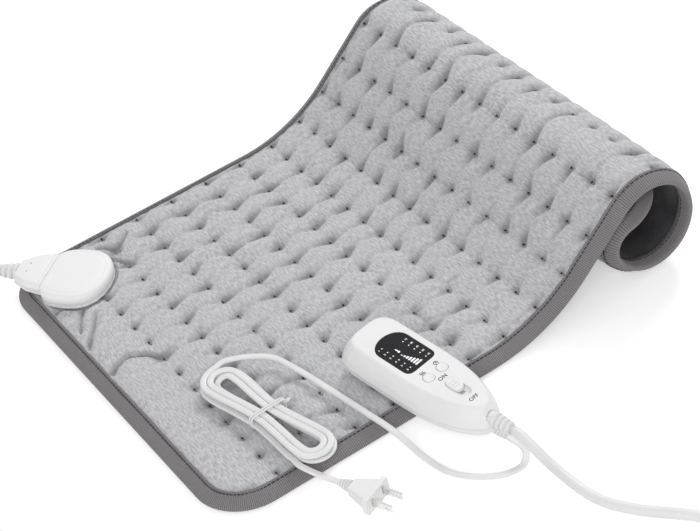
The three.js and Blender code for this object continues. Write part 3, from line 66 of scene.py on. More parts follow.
# Controller, socket, lead plug, hank and mains plug: places of their groups
CONTROLLER_AT = Vector((61.5, -165, 9.858))
CONTROLLER_YAW, CONTROLLER_TILT = radians(-79.5), radians(4.5)
SOCKET_AT, SOCKET_TURN = Vector((-66, 121, 7.3)), radians(128)
PLUG_IN_SOCKET = Vector((25.3, 0, 8))
HANK_AT, HANK_TURN = Vector((-37, -114, 14.1)), radians(98)
MAINS_PLUG_AT, MAINS_PLUG_TURN = Vector((-32.5, -196, 6.8)), radians(-67)

# Cords, and the strain reliefs by which they leave the controller's nose and the lead plug
LEAD_DIAMETER, MAINS_WIDTH, MAINS_THICKNESS, TIE_DIAMETER = 7.4, 4.8, 3.0, 1.5
NOSE, PLUG_LENGTH, RELIEF_GAP = 66, 27, 0.3
LEAD_RELIEF, MAINS_RELIEF, PLUG_RELIEF, RIBS = 16, 10, 22, 4
LEAD_LEVEL, MAINS_LEVEL = 14.6, 4.3
LEAD_COLLAR, MAINS_COLLAR = 4.5, 3.0

# Hank: length, radius of its ends, half width at the tie, half an end's share of a turn, pitch of turns
HANK_LENGTH, HANK_RADIUS, HANK_WAIST, HANK_END, TURN_PITCH = 130, 15.3, 11, 0.15, 5.1


def placed(at, yaw, tilt=0.0):
    """The matrix of a group tipped about its own Y, turned about Z and set at a place."""
    return Matrix.Translation(at) @ Matrix.Rotation(yaw, 4, "Z") @ Matrix.Rotation(tilt, 4, "Y")


controller = placed(CONTROLLER_AT, CONTROLLER_YAW, CONTROLLER_TILT)
socket = placed(SOCKET_AT, SOCKET_TURN)
lead_plug = placed(socket @ PLUG_IN_SOCKET, SOCKET_TURN)
hank = placed(HANK_AT, HANK_TURN)
mains_plug = placed(MAINS_PLUG_AT, MAINS_PLUG_TURN)


def linked(name, data):
    made = bpy.data.objects.new(name, data)
    bpy.context.scene.collection.objects.link(made)
    return made


def set_camera():
    """The photograph's camera: long lens, looking down on the pad from its near left."""
    azimuth, elevation, roll = radians(24.98), radians(38.94), radians(-13.08)
    stands_at = Vector((-433.3, -1150.3, 1022.8))
    film_width, focus_in_pixels, picture_width = 36, 2150.5, 700
    lens = bpy.data.cameras.new("camera")
    lens.sensor_width = film_width
    lens.lens = focus_in_pixels / picture_width * film_width
    lens.clip_end = 20
    camera = linked("camera", lens)
    tipped = Matrix.Rotation(pi / 2 - elevation, 4, "X") @ Matrix.Rotation(roll, 4, "Z")
    camera.matrix_world = placed(stands_at * MM, -azimuth) @ tipped
    bpy.context.scene.camera = camera


set_camera()


class Value:
    """A socket's value in a node tree, with the arithmetic that its Math nodes do."""

    def __init__(self, tree, link):
        self.tree, self.link = tree, link

    def math(self, operation, *others):
        return self.tree.node("Math", {"operation": operation}, [self, *others])

    __add__ = __radd__ = partialmethod(math, "ADD")
    __mul__ = __rmul__ = partialmethod(math, "MULTIPLY")
    __sub__ = partialmethod(math, "SUBTRACT")
    __truediv__ = partialmethod(math, "DIVIDE")
    __pow__ = partialmethod(math, "POWER")

    def __rsub__(self, other):
        return self.tree.node("Math", {"operation": "SUBTRACT"}, [other, self])

    def between(self, low, high):
        """0 below low, 1 above high, smooth between."""
        return self.tree.node("MapRange", {"interpolation_type": "SMOOTHSTEP"},
                              {"Value": self, "From Min": low, "From Max": high})


class Tree:
    """The nodes of a material or of the world: one shader, and what leads to it."""

    def __init__(self, owner, shader, output):
        owner.use_nodes = True
        self.nodes, self.links = owner.node_tree.nodes, owner.node_tree.links
        self.nodes.clear()
        self.shader, output = [self.nodes.new("ShaderNode" + kind) for kind in (shader, output)]
        self.links.new(self.shader.outputs[0], output.inputs[0])

    def put(self, target, value):
        if isinstance(value, Value):
            self.links.new(value.link, target)
        else:
            target.default_value = value

    def node(self, kind, settings=None, sockets=None, out=0):
        """One output or several of a new node, its sockets set by place or name."""
        made = self.nodes.new("ShaderNode" + kind)
        for key, value in (settings or {}).items():
            setattr(made, key, value)
        pairs = sockets.items() if isinstance(sockets, dict) else enumerate(sockets or [])
        for key, value in pairs:
            self.put(made.inputs[key], value)
        if isinstance(out, tuple):
            return [Value(self, made.outputs[key]) for key in out]
        return Value(self, made.outputs[out])

    def looked_at(self):
        """1 for what the camera sees, also by gloss or glass, and 0 for other light."""
        camera, glossy, through = self.node("LightPath", out=(
            "Is Camera Ray", "Is Glossy Ray", "Is Transmission Ray"))
        return camera.math("MAXIMUM", glossy).math("MAXIMUM", through)


class Finish(Tree):
    """A procedural material round one Principled shader."""

    def __init__(self, name, **constants):
        self.material = bpy.data.materials.new(name)
        super().__init__(self.material, "BsdfPrincipled", "OutputMaterial")
        for key, value in constants.items():
            key = key.replace("_", " ").title().replace("Ior", "IOR")
            self.shader.inputs[key].default_value = value

    def at(self):
        return self.node("TexCoord", out="Object")

    def along(self):
        """The piece's UV map, in millimetres: its two directions, and both as a place."""
        place = self.node("UVMap", {"uv_map": "lie"})
        return *self.node("SeparateXYZ", {}, [place], out=("X", "Y")), place

    def noise(self, place, scale, detail=3.0, roughness=0.55):
        """Noise at one scale, or at a scale for each axis."""
        if isinstance(scale, tuple):
            place, scale = self.node("Mapping", {}, {"Vector": place, "Scale": scale}), 1.0
        sockets = {"Vector": place, "Scale": scale, "Detail": detail, "Roughness": roughness}
        return self.node("TexNoise", {}, sockets)

    def mix(self, factor, first, second):
        rgba = [value if isinstance(value, Value) else (*value, 1.0) for value in (first, second)]
        return self.node("Mix", {"data_type": "RGBA"}, {0: factor, 6: rgba[0], 7: rgba[1]}, out=2)

    def shade(self, key, value):
        self.put(self.shader.inputs[key], value)

    colour = partialmethod(shade, "Base Color")
    roughness = partialmethod(shade, "Roughness")
    glow = partialmethod(shade, "Emission Color")

    def bump(self, height, distance, strength):
        sockets = {"Strength": strength, "Distance": distance, "Height": height}
        self.shade("Normal", self.node("Bump", {}, sockets, out="Normal"))

    def done(self, colour, roughness, vary, grain, relief=None):
        """The material, its roughness varied by a grain that may also stand out in relief."""
        self.colour(colour)
        self.roughness(roughness + vary * (grain - 0.5))
        if relief:
            self.bump(grain, *relief)
        return self.material


def moulded(name, pale, dark, roughness, grain=900.0, ior=1.46):
    """Moulded plastic: fine spark grain, faint marks and slightly uneven colour."""
    made = Finish(name, ior=ior)
    at = made.at()
    cloud, fine = made.noise(at, 28.0, 2.0), made.noise(at, grain, 2.0)
    made.bump(fine, 0.00002, 0.5)
    colour = made.mix(cloud.between(0.3, 0.75), pale, dark)
    return made.done(colour, 0.04 * fine + roughness, 0.1, made.noise(at, 90.0, 4.0))


def cord_sheath(name, pale, dark, roughness):
    """Soft extruded sheath: long faint draw lines and a satin skin."""
    made = Finish(name, ior=1.48)
    draw = made.noise(made.along()[2], (0.02, 1.6, 1.0))
    cloud = made.noise(made.at(), 45.0, 2.0)
    return made.done(made.mix(cloud.between(0.3, 0.75), pale, dark), roughness, 0.12, draw, (0.00005, 0.35))


def piece(name, bm, material, body=ROOT):
    """Makes a mesh a smooth object of the scene with its finish, riding on a body."""
    mesh = bpy.data.meshes.new(name)
    for face in bm.faces:
        face.smooth = True
    bm.to_mesh(mesh)
    bm.free()
    mesh.materials.append(material)
    made = linked(name, mesh)
    if body:
        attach(made, body)
    return made


def lay_uv(bm, rule):
    """Fills the UV map by a rule for each corner's place and its UV so far."""
    lie = bm.loops.layers.uv.active or bm.loops.layers.uv.new("lie")
    for face in bm.faces:
        for loop in face.loops:
            loop[lie].uv = rule(loop.vert.co, loop[lie].uv)


def laid_grid(columns, rows, place, size=(1.0, 1.0)):
    """A grid led over a surface: place gives the point at each share across and along it.
    Its UV map holds the same shares of a size in millimetres."""
    bm = bmesh.new()
    ops.create_grid(bm, x_segments=columns, y_segments=rows, size=1)
    lay_uv(bm, lambda co, _: ((co.x + 1) / 2 * size[0], (co.y + 1) / 2 * size[1]))
    for vert in bm.verts:
        vert.co = place((vert.co.x + 1) / 2, (vert.co.y + 1) / 2)
    return bm


def close(bm, sides=0):
    """Welds seams, fills ends of up to so many sides and turns faces outwards."""
    ops.remove_doubles(bm, verts=bm.verts, dist=1e-7)
    if sides:
        ops.holes_fill(bm, edges=[e for e in bm.edges if e.is_boundary], sides=sides)
    ops.recalc_face_normals(bm, faces=bm.faces)


def smooth(x, low, high):
    t = min(max((x - low) / (high - low), 0.0), 1.0)
    return t * t * (3 - 2 * t)


def smooth_line(points, step):
    """Centripetal Catmull-Rom through points, sampled about every step."""
    ends = [2 * points[0] - points[1], *points, 2 * points[-1] - points[-2]]
    line = []
    for a, b, c, d in zip(ends, ends[1:], ends[2:], ends[3:]):
        knots = [0.0]
        for p, q in ((a, b), (b, c), (c, d)):
            knots.append(knots[-1] + max((q - p).length, 1e-6) ** 0.5)
        count = max(1, round((c - b).length / step))
        for i in range(count):
            t = knots[1] + (knots[2] - knots[1]) * i / count
            row = [a, b, c, d]
            for spans in (zip(knots, knots[1:]), zip(knots, knots[2:]), [knots[1:3]]):
                row = [(row[j] * (high - t) + row[j + 1] * (t - low)) / (high - low)
                       for j, (low, high) in enumerate(spans)]
            line.append(row[0])
    line.append(points[-1].copy())
    return line


def length_of(line):
    return sum((b - a).length for a, b in zip(line, line[1:]))


def stations(stops, counts):
    """Evenly spaced stations between successive stops."""
    line = [a + (b - a) * i / n for a, b, n in zip(stops, stops[1:], counts) for i in range(n)]
    return [*line, stops[-1]]


def walked(stretches, x, y, far):
    """Place and heading after going so far along stretches of (length, turn), at first along x."""
    heading = 0.0
    for length, turn in stretches:
        part = min(far, length)
        bent = turn * part / length
        if turn:
            x += length / turn * (sin(heading + bent) - sin(heading))
            y -= length / turn * (cos(heading + bent) - cos(heading))
        else:
            x, y = x + part * cos(heading), y + part * sin(heading)
        heading += bent
        far -= part
        if far <= 0:
            break
    return x, y, heading


def cord_tube(name, line, section, material, body=ROOT, across=None):
    """A capped cord of a closed section, its flat level or in the direction given."""
    around, around_mm, count = 20, 20.0, len(line) - 1
    frames = []
    for i, point in enumerate(line):
        ahead = (line[min(i + 1, count)] - line[max(i - 1, 0)]).normalized()
        side = across or ahead.cross(Vector((0, 0, 1)))
        side = side.normalized() if side.length > 1e-4 else Vector((1, 0, 0))
        frames.append((point, side, side.cross(ahead)))

    def place(round_share, along_share):
        point, side, over = frames[min(round(along_share * count), count)]
        across, up = section(round_share % 1.0)
        return (point + side * across + over * up) * MM

    bm = laid_grid(around, count, place, (around_mm, length_of(line)))
    lay_uv(bm, lambda _, uv: uv.yx)
    close(bm, around + 1)
    return piece(name, bm, material, body)


def lofted(name, rings, material, body=ROOT):
    """A closed piece through rings of equally many points."""
    around, last = len(rings[0]), len(rings) - 1

    def place(share, level):
        return rings[round(level * last)][round(share * around) % around] * MM

    bm = laid_grid(around, last, place, (20.0, 20.0))
    close(bm, around)
    return piece(name, bm, material, body)


def ribbed(name, node, group, start, length, ends, body=ROOT, collar=None):
    """A ribbed strain relief along a group's X, with a collar in its shell's hole."""
    profile = [(-4, collar), (-0.5, collar), (-0.1, collar - 0.3)] if collar else []
    rib = ((0, 0.55), (0.03, 0.9), (0.12, 1), (0.5, 1), (0.58, 0.9), (0.61, 0.55), (0.97, 0.55))
    for i in range(RIBS):
        radius = ends[0] + (ends[1] - ends[0]) * i / (RIBS - 1)
        profile += [((i + share) * length / RIBS, size * radius) for share, size in rib]
    turns = [k * pi / 12 for k in range(24)]
    rings = [[group @ (start + Vector((x, radius * cos(a), radius * sin(a)))) for a in turns]
             for x, radius in profile]
    made = lofted(name, rings, white_cord, body)
    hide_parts(node)
    return made


def round_section(diameter):
    def at(share):
        angle = 2 * pi * share
        return diameter / 2 * cos(angle), diameter / 2 * sin(angle)
    return at


def twin_section(share):
    """Two cores in one flat sheath, with a groove between them on both faces."""
    groove_depth, groove_width, squareness = 0.24, 0.62, 0.8
    angle = 2 * pi * share
    across, rise = MAINS_WIDTH / 2 * cos(angle), sin(angle)
    groove = 1 - groove_depth * exp(-(across / groove_width) ** 2)
    return across, MAINS_THICKNESS / 2 * copysign(abs(rise) ** squareness, rise) * groove


def hank_outline(turn):
    """Point of the hank's outer turn: two round ends, and runs that the tie draws in."""
    reach, share = HANK_LENGTH / 2 - HANK_RADIUS, turn % 0.5
    if HANK_END <= share < 0.5 - HANK_END:
        x = reach * (1 - 2 * (share - HANK_END) / (0.5 - 2 * HANK_END))
        y = HANK_RADIUS - (HANK_RADIUS - HANK_WAIST) * (1 + cos(pi * x / reach)) / 2
    else:
        near = share < HANK_END
        angle = pi / 2 * share / HANK_END if near else pi * (1 + (share - 0.5) / (2 * HANK_END))
        x = HANK_RADIUS * cos(angle) + (reach if near else -reach)
        y = HANK_RADIUS * sin(angle)
    return Vector((x, y, 0)) * (1 if turn % 1 < 0.5 else -1)


def hank_point(turn):
    """Centre of the cord after some turns: in over the upper layer, out over the lower."""
    along = (hank_outline(turn + 0.002) - hank_outline(turn - 0.002)).normalized()
    inwards = TURN_PITCH * (2 - abs(turn - 2))
    up = TURN_PITCH * (1 - smooth(turn, 1.7, 2.3))
    return hank_outline(turn) + Vector((-inwards * along.y, inwards * along.x, up))


def mains_route():
    """The mains cord's line, from the controller through the hank to its plug."""
    low, on_pad, straight = 2.5, 14.1, 4.4
    gland_end = NOSE + MAINS_RELIEF + 2 * RELIEF_GAP
    start = [controller @ Vector((gland_end + more, 0, MAINS_LEVEL)) for more in (0, straight)]
    laid = [Vector(p) for p in (
        (79, -255, low + 1.5), (71, -264, low), (56, -263, low), (41, -252, low), (30, -236, low),
        (25, -215, low + 1), (20, -188, on_pad - 2), (15, -160, on_pad), (8, -118, on_pad + 0.5),
        (2, -86, on_pad + 1), (-6, -65, on_pad + 3))]
    points_per_turn, last_point = 24, 104
    turns = [hank_point(i / points_per_turn) for i in range(last_point + 1)]
    first, last = turns[0], turns[-1]
    lead_in = [first + Vector((0, -n * straight, 0)) for n in (3, 1)]
    lead_out = [last + Vector(p) for p in ((-straight, 0, 0), (-3 * straight, 1, 0))]
    wound = [hank @ p for p in (*lead_in, *turns, *lead_out)]
    tail = [Vector((-43.6, -177.5, on_pad - 2.2))]
    end = [mains_plug @ Vector((-x, 0, 0)) for x in (RELIEF_GAP + 2 * straight, RELIEF_GAP)]
    return smooth_line([*start, *laid, *wound, *tail, *end], 2.2)


def lead_route():
    """The pad lead's line, from the controller round the pad to its plug."""
    low, straight = 4.0, 7.4
    gland_end, plug_end = NOSE + LEAD_RELIEF + 2 * RELIEF_GAP, PLUG_LENGTH + PLUG_RELIEF + 2 * RELIEF_GAP
    start = [controller @ Vector((gland_end + more, 0, LEAD_LEVEL)) for more in (0, straight)]
    laid = [Vector(p) for p in (
        (82, -290, low + 2), (87, -325, low), (99, -348, low), (125, -381, low), (133, -402, low),
        (125, -424, low), (104, -432, low), (83, -424, low), (5, -338, low), (-73, -252, low),
        (-151, -166, low), (-228, -80, low), (-237, -64, low), (-236, -49, low), (-220, 52, low),
        (-197, 116, low), (-169, 176, low + 1), (-158, 192, low + 4), (-140, 198, low + 8),
        (-127, 194, 15.3))]
    end = [lead_plug @ Vector((plug_end + more, 0, 0)) for more in (straight, 0)]
    return smooth_line([*start, *laid, *end], 3.0)


white_cord = cord_sheath("white_cord", (0.86, 0.86, 0.86), (0.80, 0.80, 0.805), 0.42)


def tie_hank():
    """The wire tie: twice round the hank's waist, its ends twisted together."""
    def loop(share):
        angle = 4 * pi * share
        c, s = cos(angle), sin(angle)
        y = -14.5 * copysign(abs(c) ** 0.35, c)
        z = 2.6 + 5.3 * copysign(abs(s) ** 0.5, s)
        return Vector((2.3 * smooth(share, 0.4, 0.6) - 1.15 + 0.1 * y, y, z))

    def twist(share, start):
        angle = start + 5 * pi * share
        return Vector((2.5 * share - 1.4, -15.4 - 4.2 * share, 2.6 - 1.6 * share)) + 0.75 * Vector(
            (cos(angle), 0.3 * cos(angle), sin(angle)))

    wound, twists = stations([0, 1], [160]), stations([0, 1], [20])
    line = [*[twist(1 - i, 0) for i in twists], *[loop(i) for i in wound], *[twist(i, pi) for i in twists]]
    line = smooth_line([hank @ p for p in line], 2.0)
    bent = hank.to_3x3() @ Vector((1, -0.1, 0))
    made = cord_tube("cord_tie", line, round_section(TIE_DIAMETER), white_cord, across=bent)
    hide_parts("hank_tie")
    return made


def lay_cords():
    route = mains_route()
    mains = cord_tube("mains_lead", route, twin_section, white_cord)
    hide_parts("mains_cord", "cord_hank", "mains_tail")
    tie = tie_hank()
    ribs = ribbed("mains_plug_ribs", "mains_plug_relief", mains_plug, Vector(), MAINS_RELIEF, (2.9, 4.6))
    route[0] * MM
    length_of(route) * MM
    [p * MM for p in route]
    route = lead_route()
    lead = cord_tube("pad_cable", route, round_section(LEAD_DIAMETER), white_cord, None)
    route[-80] * MM
    route[-8] * MM
    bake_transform(lead)
    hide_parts("pad_lead")
    route[0] * MM
    length_of(route) * MM
    [p * MM for p in route]


lay_cords()


def tongue_length():
    """Length of the pad's tip inside the roll, to where it would meet the roll's far side."""
    def turn_to(angle):
        return Vector((cos(angle), sin(angle)))
    place = RAMP_ANGLE + pi / 2 - ROLL_TURN
    fold_centre = turn_to(place) * (ROLL_RADIUS - FOLD_RADIUS) + turn_to(place - pi / 2) * INNER_RUN
    heading = turn_to(place - pi / 2 - FOLD_TURN)
    reaches = []
    for w in (0, TAPE_HEIGHT):
        start = fold_centre + turn_to(place - FOLD_TURN) * (FOLD_RADIUS + w)
        along = start.dot(heading)
        reaches.append(sqrt(along ** 2 - start.length_squared + (ROLL_RADIUS - ROLL_GAP) ** 2) - along)
    return min(reaches)


INNER_RUN = ROLL_RADIUS - FOLD_RADIUS - PAD_HEIGHT - ROLL_GAP
TONGUE = tongue_length()
FAR_CORNER = min(PAD_CORNER, TONGUE - 2)
RISE = RISE_RADIUS * RAMP_ANGLE
RAMP = (ROLL_RADIUS * (1 + cos(RAMP_ANGLE)) + PAD_HEIGHT + FLOOR_GAP
        - RISE_RADIUS * (1 - cos(RAMP_ANGLE))) / sin(RAMP_ANGLE)
ROLL, FOLD = ROLL_RADIUS * ROLL_TURN, FOLD_RADIUS * FOLD_TURN
FLAT = PAD_LENGTH - RISE - RAMP - ROLL - INNER_RUN - FOLD - TONGUE
STRETCHES = ((FLAT, 0), (RISE, RAMP_ANGLE), (RAMP, 0), (ROLL, -ROLL_TURN), (INNER_RUN, 0), (FOLD, -FOLD_TURN),
             (TONGUE + 50, 0))


def bend(u, v, w):
    """Where a point of the pad lies: u along it from the socket's end, v across, w above its underside."""
    x, z, heading = walked(STRETCHES, -ORIGIN_FROM_EDGE, 0.0, u)
    return Vector((x - w * sin(heading), v, z + w * cos(heading))) * MM


def corner_at(u):
    """Distance from the pad's nearer end, and the radius of that end's corners."""
    return min(u, PAD_LENGTH - u), PAD_CORNER if u < PAD_LENGTH / 2 else FAR_CORNER


def half_width(u):
    """Half the width between the cloth's hems."""
    from_end, corner = corner_at(u)
    if from_end >= corner:
        return PAD_WIDTH / 2 - HEM
    reach = (corner - HEM) ** 2 - (corner - from_end) ** 2
    return PAD_WIDTH / 2 - corner + sqrt(max(reach, 0))


def edge_inset(u, v):
    """Distance of a point of the pad from its rounded outline."""
    from_end, corner = corner_at(u)
    over_u, over_v = corner - from_end, abs(v) - PAD_WIDTH / 2 + corner
    if over_u > 0 and over_v > 0:
        return corner - hypot(over_u, over_v)
    return min(from_end, PAD_WIDTH / 2 - abs(v))


# Tuft lines across the pad, and where grid rows and columns lie so that every tuft has a vertex
LAST_LINE = int((PAD_LENGTH - FIRST_LINE - FAR_CORNER) // LINE_PITCH)
LINES = [FIRST_LINE + i * LINE_PITCH for i in range(LAST_LINE + 1)]
COLUMNS = [k * TUFT_PITCH for k in range(-LAST_COLUMN, LAST_COLUMN + 1)]
ROWS = stations([HEM, *LINES, PAD_LENGTH - HEM], [16, *[10] * LAST_LINE, 19])
ACROSS = stations([HEM - PAD_WIDTH / 2, *COLUMNS, PAD_WIDTH / 2 - HEM], [5, *[8] * (2 * LAST_COLUMN), 5])

# Chance of each pleat: how far it bows, its strength at its first and last tuft, and its tuft's pull
PLEAT_CELLS = 20
shuffle = random.Random(7)
PLEATS = {(cell, column): (6.5 * shuffle.random() - 1.0, shuffle.random() ** 0.8, shuffle.random() ** 1.5,
                           shuffle.random())
          for cell in range(PLEAT_CELLS) for column in range(-LAST_COLUMN, LAST_COLUMN + 1)}

from_socket, from_controller, from_hank = [group.inverted() for group in (socket, controller, hank)]


def socket_gap(local):
    """Roughly how far a place in the socket's group lies outside its foot."""
    half_x, half_y, squareness, radius = 25.3, 29.3, 2.4, 27
    out = (abs(local.x) / half_x) ** squareness + (abs(local.y) / half_y) ** squareness
    return out ** (1 / squareness) * radius - radius


def ceiling(u, v):
    """Highest that the plush may stand, clear of what lies on it."""
    free, by_socket, by_plug, by_cord, by_hank, under_controller = PAD_HEIGHT + 1.6, 6.8, 7.4, 11.3, 10.5, 0.5
    controller_slope = 0.0787
    top, x = free, u - ORIGIN_FROM_EDGE
    if x < 20 and v > 60:
        local = from_socket @ Vector((x, v, SOCKET_AT.z))
        top = min(top, by_socket + 5.3 * smooth(socket_gap(local), 0.5, 4.2))
        if local.x > 20 and abs(local.y) < 26:
            top = min(top, by_plug + 3.0 * smooth(abs(local.y), 21, 26))
    if v < -20 and u < FLAT:
        local = from_controller @ Vector((x, v, PAD_HEIGHT))
        if abs(local.x) < 69 and abs(local.y) < 29:
            under = CONTROLLER_AT.z - controller_slope * local.x - under_controller
            top = min(top, under + 3 * smooth(abs(local.y), 25, 29))
        local = from_hank @ Vector((x, v, PAD_HEIGHT))
        if abs(local.x) < 70 and abs(local.y) < 22:
            top = min(top, by_hank + 1.6 * smooth(abs(local.y), 18, 22))
        if -15 < x < 32:
            top = min(top, by_cord)
    return top


def pleat_cell(u):
    """The cell between two tuft lines that a length falls in, and the share of the cell before it."""
    line = (u - FIRST_LINE) / LINE_PITCH
    return floor(line), line - floor(line)


def column_of(k):
    return min(max(k, -LAST_COLUMN), LAST_COLUMN)


def plush_relief(u, v):
    """Shares of the nearest tuft's pit, of the bowed crease down its column and of its line's valley."""
    cell, part = pleat_cell(u)
    line, column = cell + part, column_of(round(v / TUFT_PITCH))
    bow, depth = PLEATS[cell % PLEAT_CELLS, column][:2]
    over = v - column * TUFT_PITCH
    off = (line - min(max(round(line), 0), LAST_LINE)) * LINE_PITCH
    crease = depth * (0.7 + 0.3 * cos(2 * pi * part))
    crease *= exp(-abs(over - bow * sin(pi * part)) / 2.2)
    valley = exp(-abs(off) / 2.8)
    pit = exp(-(over / 3.2) ** 2 - (off / 3.6) ** 2)
    return pit, crease if -0.35 < line < LAST_LINE + 0.35 else 0, valley


# Gathers that the socket's clamp pulls in the pile, as lines of (length, side) on the pad
GATHERS = (((9, 100), (14, 104.5), (20, 104.5), (26, 105.5)), ((35, 102), (33, 94.5), (25, 83.5), (18.5, 72)),
           ((44, 101), (50, 98), (53, 92)), ((75, 150), (80, 146.5), (84, 141), (86, 137)),
           ((86, 139), (95, 143.5), (102, 150)), ((76, 132), (81, 123.5), (86, 113)),
           ((36, 80), (28.4, 68.7), (20, 58), (14, 50)),
           ((51, 3), (44.6, 12), (32.6, 20.5), (21, 17.5), (13, 12)))


def beside(u, v, line):
    """Distance from a line of points on the pad, negative on its right."""
    best, side = 1e9, 1
    here = Vector((u, v))
    for a, b in zip(line, line[1:]):
        a, b = Vector(a), Vector(b)
        run = b - a
        share = min(max((here - a).dot(run) / run.length_squared, 0), 1)
        gap = here - (a + run * share)
        if gap.length < best:
            best, side = gap.length, copysign(1, run.cross(gap))
    return best * side


# How deep the blown pile closes in and, for pleats and gathers, how far they ease out on either side
PLEAT_DEPTH, PLEAT_FAR, PLEAT_NEAR = 3.9, 5.0, 1.3
GATHER_DEPTH, GATHER_FAR, GATHER_NEAR = 4.8, 3.8, 1.1
WEDGE_DEPTH, PIT_DEPTH, WRINKLE_DEPTH, WRINKLE_WIDTH = 2.3, 1.0, 0.9, 0.07


def eased(t, far, near):
    """1 on a crease's line, falling off at its own rate on either side."""
    return exp(-t / far if t > 0 else t / near)


def folded_in(u, v):
    """How far the pile closes in at the creases, steeper on one side, deepest by the tuft that pulls."""
    cell, part = pleat_cell(u)
    before = floor(v / TUFT_PITCH)
    drop = 0.0
    for column in {column_of(before), column_of(before + 1)}:
        over = v - column * TUFT_PITCH
        if 0 <= cell < LAST_LINE:
            bow, first, last, _ = PLEATS[cell % PLEAT_CELLS, column]
            pulled = (first + (last - first) * part) * (0.4 + 0.6 * abs(cos(pi * part)))
            t = over - bow * sin(pi * part)
            drop = max(drop, PLEAT_DEPTH * pulled * eased(t, PLEAT_FAR, PLEAT_NEAR))
        for at in (cell, cell + 1):
            if 0 <= at <= LAST_LINE:
                along = u - LINES[at]
                _, first, last, pull = PLEATS[at % PLEAT_CELLS, column]
                wedge = eased(along, 4 + 5 * first, 1.6) * eased(over, 6 + 9 * last, 2.2)
                pit = exp(-(along / 2.0) ** 2 - (over / 3.2) ** 2)
                drop = max(drop, WEDGE_DEPTH * (0.4 + 1.1 * pull) * wedge + PIT_DEPTH * pit)
    wrinkle = noise.noise(Vector((u / 24 + 3, v / 6.5, 1.7)))
    patch = smooth(noise.noise(Vector((u / 40, v / 40, 9))), -0.15, 0.3)
    drop += WRINKLE_DEPTH * exp(-abs(wrinkle) / WRINKLE_WIDTH) * patch
    if u < 130 and v > -5:
        for gather in GATHERS:
            drop = max(drop, GATHER_DEPTH * eased(beside(u, v, gather), GATHER_FAR, GATHER_NEAR))
    return drop


# Pile: its first level, its slope under the binding, how its blown height eases off, its lowest levels
PILE_LEVEL, HEM_LEVEL, HEM_SLOPE, HEM_WIDTH = 9.3, 2.75, 0.585, 11.4
EASE_FROM, EASE_OVER, LOWEST_CREASE, RIM_LEVEL = 6.0, 7.5, 4.6, 2.4

# Cloth simulation: units per millimetre, steps, how far it may carry the pile, and settings
CLOTH_SCALE, CLOTH_STEPS, FARTHEST_BLOWN = 0.01, 20, 9
CLOTH = {"vertex_group_mass": "held", "quality": 5, "mass": 0.3, "tension_stiffness": 12,
         "compression_stiffness": 12, "shear_stiffness": 4, "bending_stiffness": 0.4, "use_pressure": True,
         "pin_stiffness": 1.0, "uniform_pressure_force": 3, "shrink_min": -0.04}


def hem_height(inset):
    """Level of the pile where the binding presses it down towards the edge."""
    return HEM_LEVEL + HEM_SLOPE * (min(inset, HEM_WIDTH) - HEM)


def plush_height(u, v):
    """The pile's level before it is blown up, with its hem under the binding."""
    pit, crease, valley = plush_relief(u, v)
    level = PILE_LEVEL - 0.9 * crease - 0.3 * valley - 1.2 * pit
    level += 0.5 * noise.noise(Vector((u / 21, v / 17, 5))) + 0.35 * noise.noise(Vector((u / 9, v / 7, 3.7)))
    inset = edge_inset(u, v)
    hem = hem_height(inset)
    return hem + (level - hem) * smooth(inset, 11.2, 15.2)


def blow_up(sheet):
    """Blows the flat pile up between its held tufts, creases and hem by a cloth simulation."""
    start = [vert.co.copy() for vert in sheet.data.vertices]
    held = sheet.vertex_groups.new(name="held")
    for vert in sheet.data.vertices:
        u, v = vert.co.x / CLOTH_SCALE, vert.co.y / CLOTH_SCALE
        pit, crease, valley = plush_relief(u, v)
        fast = edge_inset(u, v) < 12.6 or pit > 0.6
        held.add([vert.index], 1.0 if fast else min(0.9 * crease + 0.4 * valley, 1.0), "REPLACE")
    cloth = sheet.modifiers.new("blow", "CLOTH")
    for key, value in CLOTH.items():
        setattr(cloth.settings, key, value)
    cloth.settings.effector_weights.gravity = 0
    cloth.collision_settings.use_collision = False
    scene = bpy.context.scene
    for step in range(CLOTH_STEPS):
        scene.frame_set(step + 1)
    shape = sheet.evaluated_get(bpy.context.evaluated_depsgraph_get()).to_mesh()
    moved = [vert.co.copy() for vert in shape.vertices]
    scene.frame_set(1)
    sheet.modifiers.clear()
    sheet.vertex_groups.clear()
    for vert, was, now in zip(sheet.data.vertices, start, moved):
        shift = now - was
        far = shift.length
        vert.co = was + shift * (min(far, FARTHEST_BLOWN * CLOTH_SCALE) / far if far else 1)


